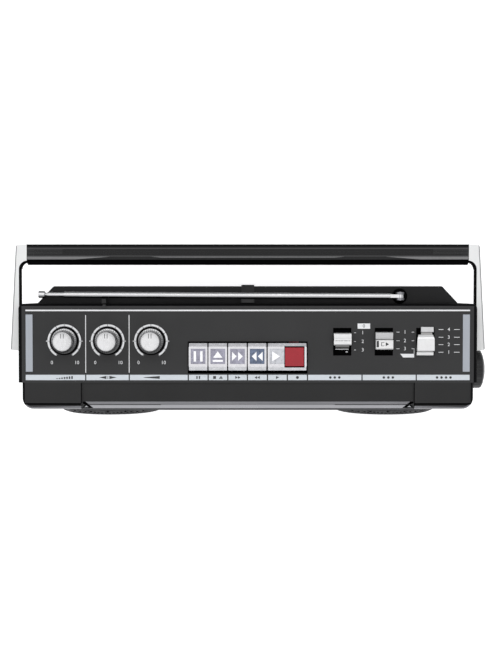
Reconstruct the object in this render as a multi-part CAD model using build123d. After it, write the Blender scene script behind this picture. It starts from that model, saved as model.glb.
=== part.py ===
from build123d import *
import os, math

os.makedirs("parts", exist_ok=True)

# ---------------------------------------------------------------------------
# Portable radio cassette player, handle folded back, aerial stowed.
# +X right, +Y to the rear, +Z up, millimetres. Origin on the table, under the
# middle of the whole box. The control panel is the top face.
# ---------------------------------------------------------------------------
W2 = 184.0          # half width, rear cabinet and control panel
F2 = 181.1          # half width, front cabinet
Z_TOP = 180.0       # control panel surface
Z_SEAM = 172.0      # seam between the rear cabinet and the panel's skirt
Z_BOT = 4.0         # underside of the cabinet
Z_HUMP = 171.0      # top of the rear hump, under the aerial
Y_SPLIT = -40.6     # seam between the front and rear cabinets
Y_REAR = 22.6       # rear face of the cabinet beside the hump
Y_HUMP = 36.7       # rear face of the hump
Y_FRONT = -62.0     # front face
Y_BAY = -55.9       # floor of the recess behind the dial bezel
T = 2.5             # wall
# speakers
SPK_X, SPK_Z = 119.5, 64.0
SPK_R = 48.0        # grille pan
Y_BAFFLE = -65.0
Y_DOME = -74.2
# dial
DIAL_X = 133.2
DIAL_Z0, DIAL_Z1 = 129.0, 176.0
# knobs on the panel
KNOB_X = (-146.9, -112.2, -77.5)
KNOB_Y = -7.3
# slide levers
LEVER_X = (75.6, 108.9, 142.1)
LEVER_Y = (-5.6, -7.2, -8.6)
SLOT_Y0, SLOT_Y1 = -18.9, 3.3
SLOT_HALF = 7.3
# keys
KEY_PITCH = 15.7
KEY_W = 14.9
KEY_X0 = -47.1
KEY_Y0, KEY_Y1 = -30.7, -8.9
KEY_TOP = 184.0
ROD_Y, ROD_Z = 12.0, 174.0
# handle
HP_Y, HP_Z = -5.0, 158.0
# aerial
ANT_X, ANT_Y, ANT_Z = 122.4, 28.7, 175.5
ANT_TURN = -0.27    # the stowed mast lies slightly askew, its left end to the rear
# tuning knob
TK_Y, TK_Z, TK_R = -31.6, 145.0, 15.7
# cassette deck
SP_X, SP_Z = 21.25, 64.0
CAP_X, CAP_Z = -20.0, 96.0
MOT_X, MOT_Z = 38.0, 128.0
FLY_R, PUL_R = 25.0, 4.5
PR_R, PR_Z = 5.5, 110.6   # pinch roller, 8 mm above its place on the capstan
# battery bay
BAT_X, BAT_Z0, BAT_Z1 = 95.0, 14.0, 82.0
COLUMNS = [(-148.0, 130.0), (148.0, 130.0), (-148.0, 14.0), (148.0, 14.0)]
# the drawing is symmetrical about X = 0; this moves it so that the origin lies
# under the middle of the whole box, tuning knob and folded handle included
OX, OY = -1.525, 1.8


def bx(x0, x1, y0, y1, z0, z1):
    return Pos((x0 + x1) / 2, (y0 + y1) / 2, (z0 + z1) / 2) * Box(abs(x1 - x0), abs(y1 - y0), abs(z1 - z0))


def cx(x0, x1, y, z, r):
    return Pos((x0 + x1) / 2, y, z) * Rot(0, 90, 0) * Cylinder(r, abs(x1 - x0))


def cy(x, y0, y1, z, r):
    return Pos(x, (y0 + y1) / 2, z) * Rot(90, 0, 0) * Cylinder(r, abs(y1 - y0))


def cz(x, y, z0, z1, r):
    return Pos(x, y, (z0 + z1) / 2) * Cylinder(r, abs(z1 - z0))


def face3(points):
    return make_face(Polyline(*[Vector(*p) for p in points], close=True))


def pz(pts, z0, z1):
    return extrude(face3([(x, y, z0) for x, y in pts]), amount=z1 - z0, dir=(0, 0, 1))


def px(pts, x0, x1):
    return extrude(face3([(x0, y, z) for y, z in pts]), amount=x1 - x0, dir=(1, 0, 0))


def py(pts, y0, y1):
    return extrude(face3([(x, y0, z) for x, z in pts]), amount=y1 - y0, dir=(0, 1, 0))


def rev_y(profile, x, z):
    """profile: (radius, y) points turned about the Y axis through (x, z)."""
    f = face3([(x + r, y, z) for r, y in profile])
    return revolve(f, Axis((x, 0, z), (0, 1, 0)), 360)


def rev_z(profile, x, y):
    f = face3([(x + r, y, z) for r, z in profile])
    return revolve(f, Axis((x, y, 0), (0, 0, 1)), 360)


def rev_x(profile, y, z):
    f = face3([(x, y + r, z) for r, x in profile])
    return revolve(f, Axis((0, y, z), (1, 0, 0)), 360)


def near(edges, p, tol=0.2):
    """Edges whose middle matches the given coordinates; None matches all."""
    out = []
    for e in edges:
        c = e.position_at(0.5)
        if all(v is None or abs(a - v) <= tol for a, v in zip((c.X, c.Y, c.Z), p)):
            out.append(e)
    return out


def soft(shape, edges, r, kind="fillet"):
    edges = list(edges)
    if not edges:
        print("no edges for", kind, r)
        return shape
    try:
        out = fillet(edges, r) if kind == "fillet" else chamfer(edges, r)
        if out.is_valid and out.volume > 0:
            return out
    except Exception as e:
        print(kind, "failed", r, type(e).__name__)
    return shape


def group(*solids):
    flat = []
    for s in solids:
        flat += list(s.solids())
    return Compound(children=flat)


NODES = {}


def save(name, shape):
    shape = shape.moved(Location((OX, OY, 0)))
    n = shape.solids()
    bad = [s for s in n if not s.is_valid]
    if bad or not n:
        print("INVALID", name, len(bad), len(n))
    NODES[name] = shape
    export_step(shape, f"parts/{name}.step")


# ------------------------------------------------------------ rear cabinet
body = bx(-W2, W2, Y_SPLIT, Y_REAR, Z_BOT, Z_SEAM)
body = soft(body, near(body.edges(), (W2, Y_REAR, None)) + near(body.edges(), (-W2, Y_REAR, None)), 4.0)
body = soft(body, [e for e in body.edges() if abs(e.position_at(0.5).Z - Z_BOT) < 0.01 and e.position_at(0.5).Y > Y_SPLIT + 0.1], 2.5)
hump = pz([(-170.0, Y_REAR - 8), (170.0, Y_REAR - 8), (170.0, Y_REAR), (156.8, Y_HUMP), (-156.8, Y_HUMP), (-170.0, Y_REAR)], Z_BOT, Z_HUMP)
hump = soft(hump, near(hump.edges(), (156.8, Y_HUMP, None)) + near(hump.edges(), (-156.8, Y_HUMP, None)), 2.5)
hump = soft(hump, [e for e in hump.edges() if (abs(e.position_at(0.5).Z - Z_BOT) < 0.01 or abs(e.position_at(0.5).Z - Z_HUMP) < 0.01) and e.position_at(0.5).Y > Y_REAR - 0.5], 1.8)
rear = body + hump
cavity = bx(-W2 + T, W2 - T, Y_SPLIT + T, Y_REAR - T, Z_BOT + 3, Z_SEAM + 1)
cavity += pz([(-164.6, Y_REAR - 7), (164.6, Y_REAR - 7), (164.6, Y_REAR - 1), (154.0, Y_HUMP - T), (-154.0, Y_HUMP - T), (-164.6, Y_REAR - 1)], Z_BOT + 3, Z_HUMP - T)
cavity += bx(-174.5, 174.5, Y_SPLIT - 1, Y_SPLIT + T + 0.5, Z_BOT + 5.5, Z_SEAM + 1)
rear -= cavity
rear += bx(-BAT_X - 4.5, BAT_X + 4.5, -2.2, Y_HUMP - 1.5, Z_BOT + 2, BAT_Z1 + 4.3)
rear -= bx(-BAT_X, BAT_X, 0, Y_HUMP + 4, BAT_Z0, BAT_Z1)
rear -= bx(-BAT_X - 2.3, BAT_X + 2.3, Y_HUMP - 3, Y_HUMP + 4, BAT_Z0 - 1.8, BAT_Z1 + 1.8)
rear -= bx(-14, 14, Y_HUMP - 2.2, Y_HUMP + 4, BAT_Z1 + 1.0, BAT_Z1 + 5.5)      # thumb notch of the battery door
# boss of the aerial turret
rear += cz(ANT_X, ANT_Y - 1.2, 158, Z_HUMP - 1, 5.9)
rear -= cz(ANT_X, ANT_Y, 150, 180, 4.6) + cz(ANT_X, ANT_Y, 150, 158, 5.7)
rear -= cz(ANT_X, ANT_Y, Z_HUMP - 1.2, 180, 6.2)
# handle pivots, tuning shaft, sockets, mains inlet
rear -= cx(-W2 - 1, -W2 + 6, HP_Y, HP_Z, 3.6)
rear -= cx(W2 - 6, W2 + 1, HP_Y, HP_Z, 3.6)
rear -= cx(W2 - 6, W2 + 1, TK_Y, TK_Z, 3.4)
for jz in (60.0, 76.0):
    rear -= cx(-W2 - 1, -W2 + 6, -8.0, jz, 4.1)
rear -= bx(-133, -111, Y_HUMP - 4, Y_HUMP + 1, 18, 33)
# screw wells in the back: the well's floor carries the head
for sx, sz in COLUMNS:
    rear += cy(sx, 20.4, Y_HUMP - 1, sz, 6.0)
    rear -= cy(sx, 26.5, Y_HUMP + 1, sz, 3.8)
    rear -= cy(sx, 18, Y_HUMP + 1, sz, 1.7)
rear &= bx(-W2, W2, Y_SPLIT, Y_HUMP, Z_BOT, Z_SEAM)
# ventilation slots over the transformer
for k in range(7):
    rear -= bx(-150 + k * 6, -147.4 + k * 6, Y_HUMP - 4, Y_HUMP + 1, 52, 84)
save("rear_cabinet", rear)

# ----------------------------------------------------------- control panel
panel = bx(-W2, W2, Y_SPLIT, Y_REAR, Z_SEAM, Z_TOP)
panel = soft(panel, near(panel.edges(), (W2, Y_REAR, None)) + near(panel.edges(), (-W2, Y_REAR, None)), 4.0)
panel = soft(panel, [e for e in panel.edges() if abs(e.position_at(0.5).Z - Z_TOP) < 0.01 and e.position_at(0.5).Y > Y_SPLIT + 0.1], 3.0)
panel -= bx(-W2 + T, W2 - T, Y_SPLIT + T, Y_REAR - T, Z_SEAM - 1, Z_TOP - 2.5)
panel -= bx(-48.1, 47.9, -33.3, -7.6, Z_SEAM - 1, Z_TOP + 1)
for kx in KNOB_X:
    panel -= cz(kx, KNOB_Y, Z_TOP - 0.9, Z_TOP + 1, 11.3)
    panel -= cz(kx, KNOB_Y, Z_SEAM - 1, Z_TOP + 1, 3.5)
for lx in LEVER_X:
    panel -= bx(lx - SLOT_HALF, lx + SLOT_HALF, SLOT_Y0, SLOT_Y1, Z_SEAM - 1, Z_TOP + 1)
panel += bx(-116.1, -113.7, 19.0, Y_REAR + 0.0, Z_TOP - 2.5, Z_TOP + 0.6) - bx(-117, -113, Y_REAR - 0.6, Y_REAR + 1, Z_TOP - 3, Z_TOP + 2)
save("control_panel", panel)

# ------------------------------------------------------------ front cabinet
front = bx(-F2, F2, Y_FRONT, Y_SPLIT, Z_BOT, Z_TOP)
front = soft(front, near(front.edges(), (F2, Y_FRONT, None)) + near(front.edges(), (-F2, Y_FRONT, None)), 9.0)
front = soft(front, [e for e in front.edges() if abs(e.position_at(0.5).Z - Z_TOP) < 0.01 and e.position_at(0.5).Y < Y_SPLIT - 0.1 and abs(e.position_at(0.5).X) < 170], 4.0)
front = soft(front, [e for e in front.edges() if abs(e.position_at(0.5).Z - Z_BOT) < 0.01 and e.position_at(0.5).Y < Y_SPLIT - 0.1], 2.0)
inner = bx(-F2 + T, F2 - T, Y_FRONT + 4, Y_SPLIT + 1, Z_BOT + 3, Z_TOP - 4.5)
inner = soft(inner, near(inner.edges(), (F2 - T, Y_FRONT + 4, None)) + near(inner.edges(), (-F2 + T, Y_FRONT + 4, None)), 6.0)
inner -= bx(-136, 136, Y_FRONT, Y_BAY + T, 125, Z_TOP)
front -= inner
front -= bx(-DIAL_X - 0.4, DIAL_X + 0.4, Y_FRONT - 1, Y_BAY, DIAL_Z0 - 0.4, Z_TOP + 1)
front -= bx(-DIAL_X - 0.4, DIAL_X + 0.4, Y_FRONT - 1, Y_SPLIT + 1, Z_TOP - 1.2, Z_TOP + 1)
front -= bx(-121, 121, Y_FRONT, Y_BAY + 4, 135, 169)
for s in (-1, 1):
    front -= cy(s * SPK_X, Y_FRONT - 1, Y_FRONT + 6, SPK_Z, 46.5)
front -= bx(-58.4, 58.4, Y_FRONT - 1, Y_FRONT + 6, 18, 115.2)
for sx, sz in COLUMNS:
    col = cy(sx, Y_FRONT + 2, 20.2, sz, 4.2) - cy(sx, 8, 21, sz, 1.45)
    front += col
# dark joint line between the pods' tops and the face
for s in (-1, 1):
    front -= bx(*sorted((s * (DIAL_X + 0.3), s * (F2 + 1))), -58.5, -57.1, Z_TOP - 1.8, Z_TOP + 1)
save("front_cabinet", front)

# --------------------------------------------------------------- dial parts
bez = pz([(-DIAL_X, Y_BAY - 0.05), (DIAL_X, Y_BAY - 0.05), (DIAL_X, -57.2), (124.6, -63.0), (-124.6, -63.0), (-DIAL_X, -57.2)], DIAL_Z0, DIAL_Z1)
bez = soft(bez, [e for e in bez.edges() if abs(e.position_at(0.5).Y + 63.0) < 0.05 and abs(e.position_at(0.5).X) < 1], 1.6, "chamfer")
bez -= bx(-140, 140, -58.4, Y_BAY + 1, DIAL_Z1 - 1.3, DIAL_Z1 + 1)
bez -= bx(-117.5, 117.5, -65, -54, 138, 166.5)
bez -= bx(-120.6, 120.6, -61.0, -54, 135.0, 169.6)
save("dial_bezel", bez)
win = bx(-120.3, 120.3, -60.9, -58.9, 135.3, 169.3)
save("dial_window", win)
scale = bx(-124, 124, -51.6, -50.6, 132, 172) - bx(-104, 104, -53, -49, 165.6, 168.0)
scale += bx(-108, 108, -49.0, -47.2, 169.4, 171.0) + bx(-108, -105.5, -50.7, -47.2, 169.4, 171.0) + bx(105.5, 108, -50.7, -47.2, 169.4, 171.0)
save("dial_scale", scale)
ptr = bx(-0.5, 0.5, -54.3, -53.3, 136.6, 167.4) + bx(-0.8, 0.8, -54.3, -45.6, 166.0, 167.4)
car = bx(-6, 6, -49.9, -45.6, 166.0, 173.2) - bx(-7, 7, -49.2, -47.0, 169.2, 171.2)
ptr += car
save("dial_pointer", ptr)

# ------------------------------------------------------------ speakers
for s, side in ((-1, "left"), (1, "right")):
    xc = s * SPK_X
    xa, xb = sorted((s * 61.5, s * 177.5))
    b = bx(xa, xb, Y_BAFFLE, Y_FRONT - 0.05, 8, 124)
    b = soft(b, [e for e in b.edges() if abs(abs(e.position_at(0.5).Y) - 63.52) < 0.2], 3.0)
    b = soft(b, [e for e in b.edges() if abs(e.position_at(0.5).Y - Y_BAFFLE) < 0.01], 1.6, "chamfer")
    b -= cy(xc, Y_BAFFLE - 1, Y_FRONT + 1, SPK_Z, 46.5)
    ring = rev_y([(49.5, Y_BAFFLE + 0.5), (53.2, Y_BAFFLE + 0.5), (53.2, Y_BAFFLE - 1.6), (51.9, Y_BAFFLE - 3.0), (50.4, Y_BAFFLE - 3.0), (49.5, Y_BAFFLE - 2.2)], xc, SPK_Z)
    b += ring
    save(f"speaker_baffle_{side}", b)
    # grille, a shallow dome of 1 mm sheet
    def dome(y0, r1, y1, n=20):
        return [(r1 * k / n, y0 + (y1 - y0) * (k / n) ** 8) for k in range(n + 1)]
    outer = dome(Y_DOME, 48.9, -66.4)
    inn = dome(Y_DOME + 1.0, 47.9, -65.6)
    prof = outer + [(48.9, Y_BAFFLE - 0.06), (47.9, Y_BAFFLE - 0.06)] + list(reversed(inn))
    g = rev_y(prof, xc, SPK_Z)
    save(f"speaker_grille_{side}", g)

bask, cones = [], []
for s in (-1, 1):
    xc = s * SPK_X
    k = rev_y([(44.5, -57.9), (50.5, -57.9), (50.5, -56.4), (45.5, -56.4), (41.0, -52.0), (24.0, -32.0), (17.0, -32.0), (17.0, -33.5), (22.8, -33.5), (39.5, -53.0)], xc, SPK_Z)
    m = rev_y([(0.0, -31.8), (23.0, -31.8), (24.0, -30.8), (24.0, -19.0), (22.5, -17.8), (0.0, -17.8)], xc, SPK_Z)
    c = rev_y([(0.0, -52.0), (5.0, -51.4), (9.0, -49.6), (11.0, -47.0), (36.0, -58.6), (39.0, -60.2), (41.6, -60.2), (43.6, -58.3), (43.6, -57.6), (41.4, -59.4), (39.2, -59.4), (36.2, -57.6), (11.5, -45.6), (11.5, -38.0), (10.8, -38.0), (10.8, -45.2), (8.4, -48.6), (4.8, -50.3), (0.0, -50.9)], xc, SPK_Z)
    bask += [k, m]
    cones.append(c)
save("speaker_baskets", group(*bask))
save("speaker_cones", group(*cones))

# ---------------------------------------------------------- cassette door
dn, dz0, dz1 = 57.6, 20.6, 114.4
door = bx(-dn, dn, -64.0, -61.4, dz0, dz1)
door = soft(door, [e for e in door.edges() if abs(e.position_at(0.5).Y + 62.7) < 0.05], 3.0)
door = soft(door, [e for e in door.edges() if abs(e.position_at(0.5).Y + 64.0) < 0.01], 0.8)
door -= bx(-46, 46, -66, -60, 36, 96)
door -= bx(-48.2, 48.2, -62.7, -60, 33.8, 98.2)
for s in (-1, 1):
    xa, xb = sorted((s * 52.6, s * 54.8))
    door += px([(-61.5, 26.0), (-61.5, 104.0), (-47.0, 104.0), (-45.5, 102.0), (-45.5, 34.0), (-53.0, 26.0)], xa, xb)
    xa, xb = sorted((s * 46.5, s * 52.7))
    door += bx(xa, xb, -47.0, -45.5, 34.0, 60.0)
door += bx(-52.7, 52.7, -61.5, -46.5, 29.5, 31.5)
door += cx(-57.0, -52.6, -57.5, 25.6, 3.0) + cx(52.6, 57.0, -57.5, 25.6, 3.0) + bx(-54.8, -52.6, -61.5, -57.5, 22.6, 28.6) + bx(52.6, 54.8, -61.5, -57.5, 22.6, 28.6)
door -= cx(-60, 60, -57.5, 25.6, 1.6)
save("cassette_door", door)
cw = bx(-48.0, 48.0, -62.65, -61.45, 34.0, 98.0)
cw += bx(-45.8, 45.8, -63.6, -62.6, 36.2, 95.8)
save("cassette_window", cw)

# ---------------------------------------------------------------- deck
ch = bx(-57.5, 57.5, -42.0, -40.7, 22.0, 150.0)
# side ears carry the door's hinge pins
ch += bx(-60.2, -57.9, -57.9, -40.7, 20.0, 40.0) + bx(57.9, 60.2, -57.9, -40.7, 20.0, 40.0) + bx(-60.2, -57.0, -42.0, -40.7, 22.0, 40.0) + bx(57.0, 60.2, -42.0, -40.7, 22.0, 40.0)
ch += cx(-60.2, -53.5, -57.5, 25.6, 1.5) + cx(53.5, 60.2, -57.5, 25.6, 1.5)
ch -= cy(-SP_X, -44, -38, SP_Z, 1.7) + cy(SP_X, -44, -38, SP_Z, 1.7)
ch -= cy(CAP_X, -44, -38, CAP_Z, 1.15)
ch += cy(MOT_X - 11, -40.8, -30.6, MOT_Z, 2.0) + cy(MOT_X + 11, -40.8, -30.6, MOT_Z, 2.0)
ch += bx(-50, 50, -44.0, -41.9, 122.0, 124.0)
ch += bx(-57.5, -53.5, -40.8, -22.0, 140.0, 150.0) + bx(53.5, 57.5, -40.8, -22.0, 140.0, 150.0)
save("deck_chassis", ch)
motor = rev_y([(1.1, -30.5), (15.6, -30.5), (16.5, -29.6), (16.5, -7.0), (15.6, -6.0), (0.0, -6.0), (0.0, -26.0), (1.1, -26.0)], MOT_X, MOT_Z)
save("deck_motor", motor)
pul = rev_y([(0, -36.4), (3.6, -36.4), (5.4, -35.9), (PUL_R, -34.9), (PUL_R, -33.1), (5.4, -32.1), (3.6, -31.6), (1.0, -31.6), (1.0, -27.0), (0, -27.0)], MOT_X, MOT_Z)
save("motor_pulley", pul)
fly = rev_y([(0, -54.0), (1.0, -53.6), (1.0, -38.6), (4.0, -38.6), (4.0, -37.0), (26.0, -37.0), (26.0, -36.0), (FLY_R, -35.0), (FLY_R, -33.0), (26.0, -32.0), (26.0, -31.0), (22.0, -31.0), (20.0, -33.0), (6.0, -33.0), (5.0, -31.0), (1.2, -31.0), (1.2, -28.0), (0, -28.0)], CAP_X, CAP_Z)
save("flywheel", fly)
# belt: two arcs and two straight runs, clear of both grooves by 0.15
dxm, dzm = MOT_X - CAP_X, MOT_Z - CAP_Z
dist = math.hypot(dxm, dzm)
ang = math.atan2(dzm, dxm)


def belt_area(ra, rb):
    beta = math.acos((ra - rb) / dist)
    p = []
    for sgn in (1, -1):
        a = ang + sgn * beta
        p.append(((CAP_X + ra * math.cos(a), CAP_Z + ra * math.sin(a)), (MOT_X + rb * math.cos(a), MOT_Z + rb * math.sin(a))))
    quad = [p[0][0], p[0][1], p[1][1], p[1][0]]
    return py(quad, -34.5, -33.5) + cy(CAP_X, -34.5, -33.5, CAP_Z, ra) + cy(MOT_X, -34.5, -33.5, MOT_Z, rb)


belt = belt_area(FLY_R + 1.15, PUL_R + 1.15) - belt_area(FLY_R + 0.15, PUL_R + 0.15)
save("drive_belt", belt)
for nm, s in (("supply_spindle", -1), ("takeup_spindle", 1)):
    sp = rev_y([(0, -53.6), (1.4, -53.2), (2.9, -51.0), (2.9, -45.6), (8.6, -45.6), (8.6, -43.6), (3.0, -43.6), (3.0, -42.3), (1.6, -42.3), (1.6, -38.4), (0, -38.4)], s * SP_X, SP_Z)
    for k in range(3):
        a = math.radians(90 + 120 * k)
        fin = Pos(s * SP_X, 0, SP_Z) * Rot(0, -math.degrees(a), 0) * bx(2.0, 4.2, -50.6, -45.5, -0.6, 0.6)
        sp += fin
    sp += rev_y([(1.0, -40.4), (6.0, -40.4), (6.0, -38.4), (1.0, -38.4)], s * SP_X, SP_Z)
    save(nm, sp)
# head bridge: a plate that slides down on the deck, with the two heads and the
# roller's pin; the notch clears the capstan when the bridge is down
head = soft(bx(-6.2, 6.2, -55.0, -42.9, 103.0, 113.0), near(bx(-6.2, 6.2, -55.0, -42.9, 103.0, 113.0).edges(), (None, -48.95, 103.0)), 1.5)
bridge = bx(-30, 30, -43.0, -42.0, 101.0, 118.0) - bx(CAP_X - 3, CAP_X + 3, -44, -41, 100, 107.5)
bridge += head + bx(16.0, 24.0, -54.0, -42.9, 104.0, 112.0) + cy(CAP_X, -54.0, -42.9, PR_Z, 1.0)
save("head_bridge", bridge)
roller = cy(CAP_X, -52.5, -46.5, PR_Z, PR_R) + cy(CAP_X, -53.5, -45.5, PR_Z, 2.4) - cy(CAP_X, -55, -44, PR_Z, 1.15)
save("pinch_roller", roller)

# ---------------------------------------------------------------- keys
rod = cx(-52.5, 52.5, ROD_Y, ROD_Z, 1.5)
rod += bx(-54.5, -52.4, ROD_Y - 4, ROD_Y + 8.0, 166.0, 177.4) + bx(52.4, 54.5, ROD_Y - 4, ROD_Y + 8.0, 166.0, 177.4)
save("key_pivot_rod", rod)


def cap_profile():
    return [(KEY_Y1, 175.0), (KEY_Y1, KEY_TOP - 1.6), (KEY_Y1 - 2.6, KEY_TOP), (KEY_Y0 + 3.0, KEY_TOP), (KEY_Y0, KEY_TOP - 2.3), (KEY_Y0, 175.0)]


FY0, FY1 = -25.4, -13.3      # icon field


def icon(points):
    return extrude(face3([(x, y, KEY_TOP - 0.9) for x, y in points]), amount=0.8, dir=(0, 0, 1), taper=22)


def tri(x, y, w, h, right=True):
    s = 1 if right else -1
    return [(x - s * w / 2, y - h / 2), (x + s * w / 2, y), (x - s * w / 2, y + h / 2)] if right else [(x + w / 2, y + h / 2), (x - w / 2, y), (x + w / 2, y - h / 2)]


def rect(x, y, w, h):
    return [(x - w / 2, y - h / 2), (x + w / 2, y - h / 2), (x + w / 2, y + h / 2), (x - w / 2, y + h / 2)]


def key(x0, x1, lx0, lx1, icons):
    k = px(cap_profile(), x0, x1)
    k = soft(k, [e for e in k.edges() if abs(e.length - 22.0) > 6 and (abs(e.position_at(0.5).X - x0) < 0.01 or abs(e.position_at(0.5).X - x1) < 0.01) and e.position_at(0.5).Z > 178], 0.45)
    fx1 = min(x1, x0 + KEY_W) - 1.6
    k -= bx(x0 + 1.6, fx1, FY0, FY1, KEY_TOP - 0.9, KEY_TOP + 1)
    for pts in icons:
        k += icon(pts)
    # hollow underside, lever and hub
    k -= bx(x0 + 1.4, x1 - 1.4, KEY_Y0 + 1.6, KEY_Y1 - 1.6, 174.0, KEY_TOP - 3.2)
    k += bx(lx0, lx1, -27.0, ROD_Y, 171.5, 175.0) + bx(lx0, lx1, -27.0, -12.0, 175.0, KEY_TOP - 3.1)
    k += cx(lx0, lx1, ROD_Y, ROD_Z, 3.0)
    k -= cx(lx0 - 1, lx1 + 1, ROD_Y, ROD_Z, 1.6)
    return k


IY = (FY0 + FY1) / 2
names = ["pause_key", "stop_key", "forward_key", "rewind_key"]
for i, nm in enumerate(names):
    x0 = KEY_X0 + KEY_PITCH * i
    xc = x0 + KEY_W / 2
    if nm == "pause_key":
        ic = [rect(xc - 2.6, IY, 2.6, 9.0), rect(xc + 2.6, IY, 2.6, 9.0)]
    elif nm == "stop_key":
        ic = [rect(xc, IY - 3.6, 8.8, 2.2), [(xc - 4.4, IY - 1.4), (xc + 4.4, IY - 1.4), (xc, IY + 4.6)]]
    elif nm == "forward_key":
        ic = [tri(xc - 2.45, IY, 4.5, 8.8), tri(xc + 2.45, IY, 4.5, 8.8)]
    else:
        ic = [tri(xc - 2.45, IY, 4.5, 8.8, False), tri(xc + 2.45, IY, 4.5, 8.8, False)]
    save(nm, key(x0, x0 + KEY_W, xc - 4, xc + 4, ic))
px0, px1 = KEY_X0 + 4 * KEY_PITCH + 0.2, 46.9
pk = key(px0, px1, px0 + 2.0, px0 + 10.0, [tri(px0 + KEY_W / 2 - 0.6, IY, 7.4, 9.4)])
pk -= bx(29.2, 45.3, -28.3, -11.2, 170.0, KEY_TOP + 1)
save("play_key", pk)
rc = bx(29.75, 44.75, -27.2, -12.3, 173.0, KEY_TOP + 0.4)
rc = soft(rc, [e for e in rc.edges() if e.position_at(0.5).Z > KEY_TOP], 0.5)
rc -= bx(31.2, 43.3, -25.7, -13.8, 172.0, KEY_TOP - 1.5)
rc += bx(33.0, 41.0, -26.5, ROD_Y, 169.0, 172.4) + bx(33.0, 41.0, -26.5, -13.0, 172.0, KEY_TOP - 1.4)
rc += bx(33.0, 41.0, ROD_Y - 5, ROD_Y, 171.5, 174.0)
rc += cx(33.0, 41.0, ROD_Y, ROD_Z, 3.0)
rc -= cx(32.0, 42.0, ROD_Y, ROD_Z, 1.6)
save("record_key", rc)

# ---------------------------------------------------------------- knobs
for kx, nm in zip(KNOB_X, ("volume_knob", "balance_knob", "tone_knob")):
    prof = [(0, 181.0), (9.9, 181.0), (10.2, 181.4), (10.0, 182.6), (9.1, 183.4), (8.4, 192.6), (7.7, 193.6), (6.9, 193.9), (6.6, 193.6), (0, 193.6)]
    k = rev_z(prof, kx, KNOB_Y)
    k += cz(kx, KNOB_Y, 163.0, 181.5, 3.0)
    for dxp in (-0.9, 0.9):
        k -= bx(kx + dxp - 0.3, kx + dxp + 0.3, KNOB_Y + 3.2, KNOB_Y + 7.2, 193.1, 195)
    save(nm, k)
pots = [rev_z([(0, 158.7), (8.5, 158.7), (8.5, 168.0), (4.6, 168.0), (4.6, 177.2), (3.1, 177.2), (3.1, 162.0), (0, 162.0)], kx, KNOB_Y) for kx in KNOB_X]

# ---------------------------------------------------------------- slide levers
sw = []
for lx, ly, nm in zip(LEVER_X, LEVER_Y, ("function_lever", "mode_lever", "band_lever")):
    blk = px([(ly - 4.9, 179.0), (ly - 4.9, 184.6), (ly - 4.0, 186.4), (ly - 1.1, 186.4), (ly - 0.7, 187.1), (ly + 0.7, 187.1), (ly + 1.1, 186.4), (ly + 4.0, 186.4), (ly + 4.9, 184.6), (ly + 4.9, 179.0)], lx - 6.95, lx + 6.95)
    blk = soft(blk, [e for e in blk.edges() if e.length > 13 and e.position_at(0.5).Z > 184 and e.position_at(0.5).Z < 186.5 and abs(e.position_at(0.5).Y - ly) > 3.5], 0.6)
    wedge = px([(ly - 6.7, 178.0), (ly - 6.7, 180.2), (ly - 4.9, 182.6), (ly + 4.9, 182.6), (ly + 6.7, 180.2), (ly + 6.7, 178.0)], lx - 5.4, lx + 5.4)
    k = blk + wedge
    k += bx(lx - 5.0, lx + 5.0, ly - 5.2, ly + 5.2, 176.9, 179.2)
    k += bx(lx - 8.6, lx + 8.6, ly - 16.5, ly + 16.5, 175.7, 177.0)
    k += bx(lx - 1.6, lx + 1.6, ly - 2.0, ly + 2.0, 163.5, 176.0)
    save(nm, k)
    s = bx(lx - 8.5, lx + 8.5, -24, 8.5, 158.7, 168.5) - bx(lx - 2.4, lx + 2.4, -20, 5.5, 162.0, 170)
    sw.append(s)
save("panel_controls", group(*pots, *sw))

# ---------------------------------------------------------------- boards and parts inside
cb = bx(-172, 162, -26.0, 10.0, 157.0, 158.6)
save("control_circuit_board", cb)
mb = bx(-168, -62, 14.0, 15.6, 92, 154)
mb += bx(62, 104, 14.0, 15.6, 92, 154) + bx(-63, 63, 14.0, 15.6, 132, 154)
mb -= cy(-148.0, 10, 20, 130.0, 5.0)
chips = [bx(-120, -98, 12.0, 14.05, 110, 118), bx(-90, -66, 10.5, 14.05, 134, 150), cy(-140, 2.5, 14.05, 108, 6.5), cy(-124, 2.5, 14.05, 134, 6.5), cy(78, 4.0, 14.05, 106, 5.0), cy(92, 4.0, 14.05, 106, 5.0), bx(70, 96, 9.0, 14.05, 124, 138)]
for c in chips:
    mb += c
save("main_circuit_board", mb)
tc = bx(140, 164.3, -41, -22, 136.5, 155.5)
tc += cx(128, 140.1, TK_Y, TK_Z, 4.0) + rev_x([(0, 128), (11.5, 128), (11.5, 129.4), (10.3, 130.2), (11.5, 131.0), (11.5, 132.4), (0, 132.4)], TK_Y, TK_Z)
tc -= cx(150, 166, TK_Y, TK_Z, 3.15)
save("tuning_capacitor", tc)
fr = cx(-92, 60, 27.0, 150, 5.0)
coil = cx(-70, -20, 27.0, 150, 6.3) - cx(-71, -19, 27.0, 150, 5.0)
save("ferrite_rod_aerial", group(fr, coil))
tr = bx(-166, -122, -12, 12, 22.5, 60) + bx(-160, -128, -16, 16, 28, 54) + bx(-166, -164.2, -12, 12, 7.05, 24) + bx(-123.8, -122, -12, 12, 7.05, 24)
save("power_transformer", tr)
inl = bx(-132.9, -111.1, 24.0, Y_HUMP - 0.6, 18.1, 32.9)
inl -= cy(-126.2, 29, 40, 25.5, 3.6) + cy(-117.8, 29, 40, 25.5, 3.6) + bx(-126.2, -117.8, 29, 40, 22.6, 28.4)
inl += cy(-126.2, 28.9, 34.5, 25.5, 1.15) + cy(-117.8, 28.9, 34.5, 25.5, 1.15)
save("mains_inlet", inl)
jk = []
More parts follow.
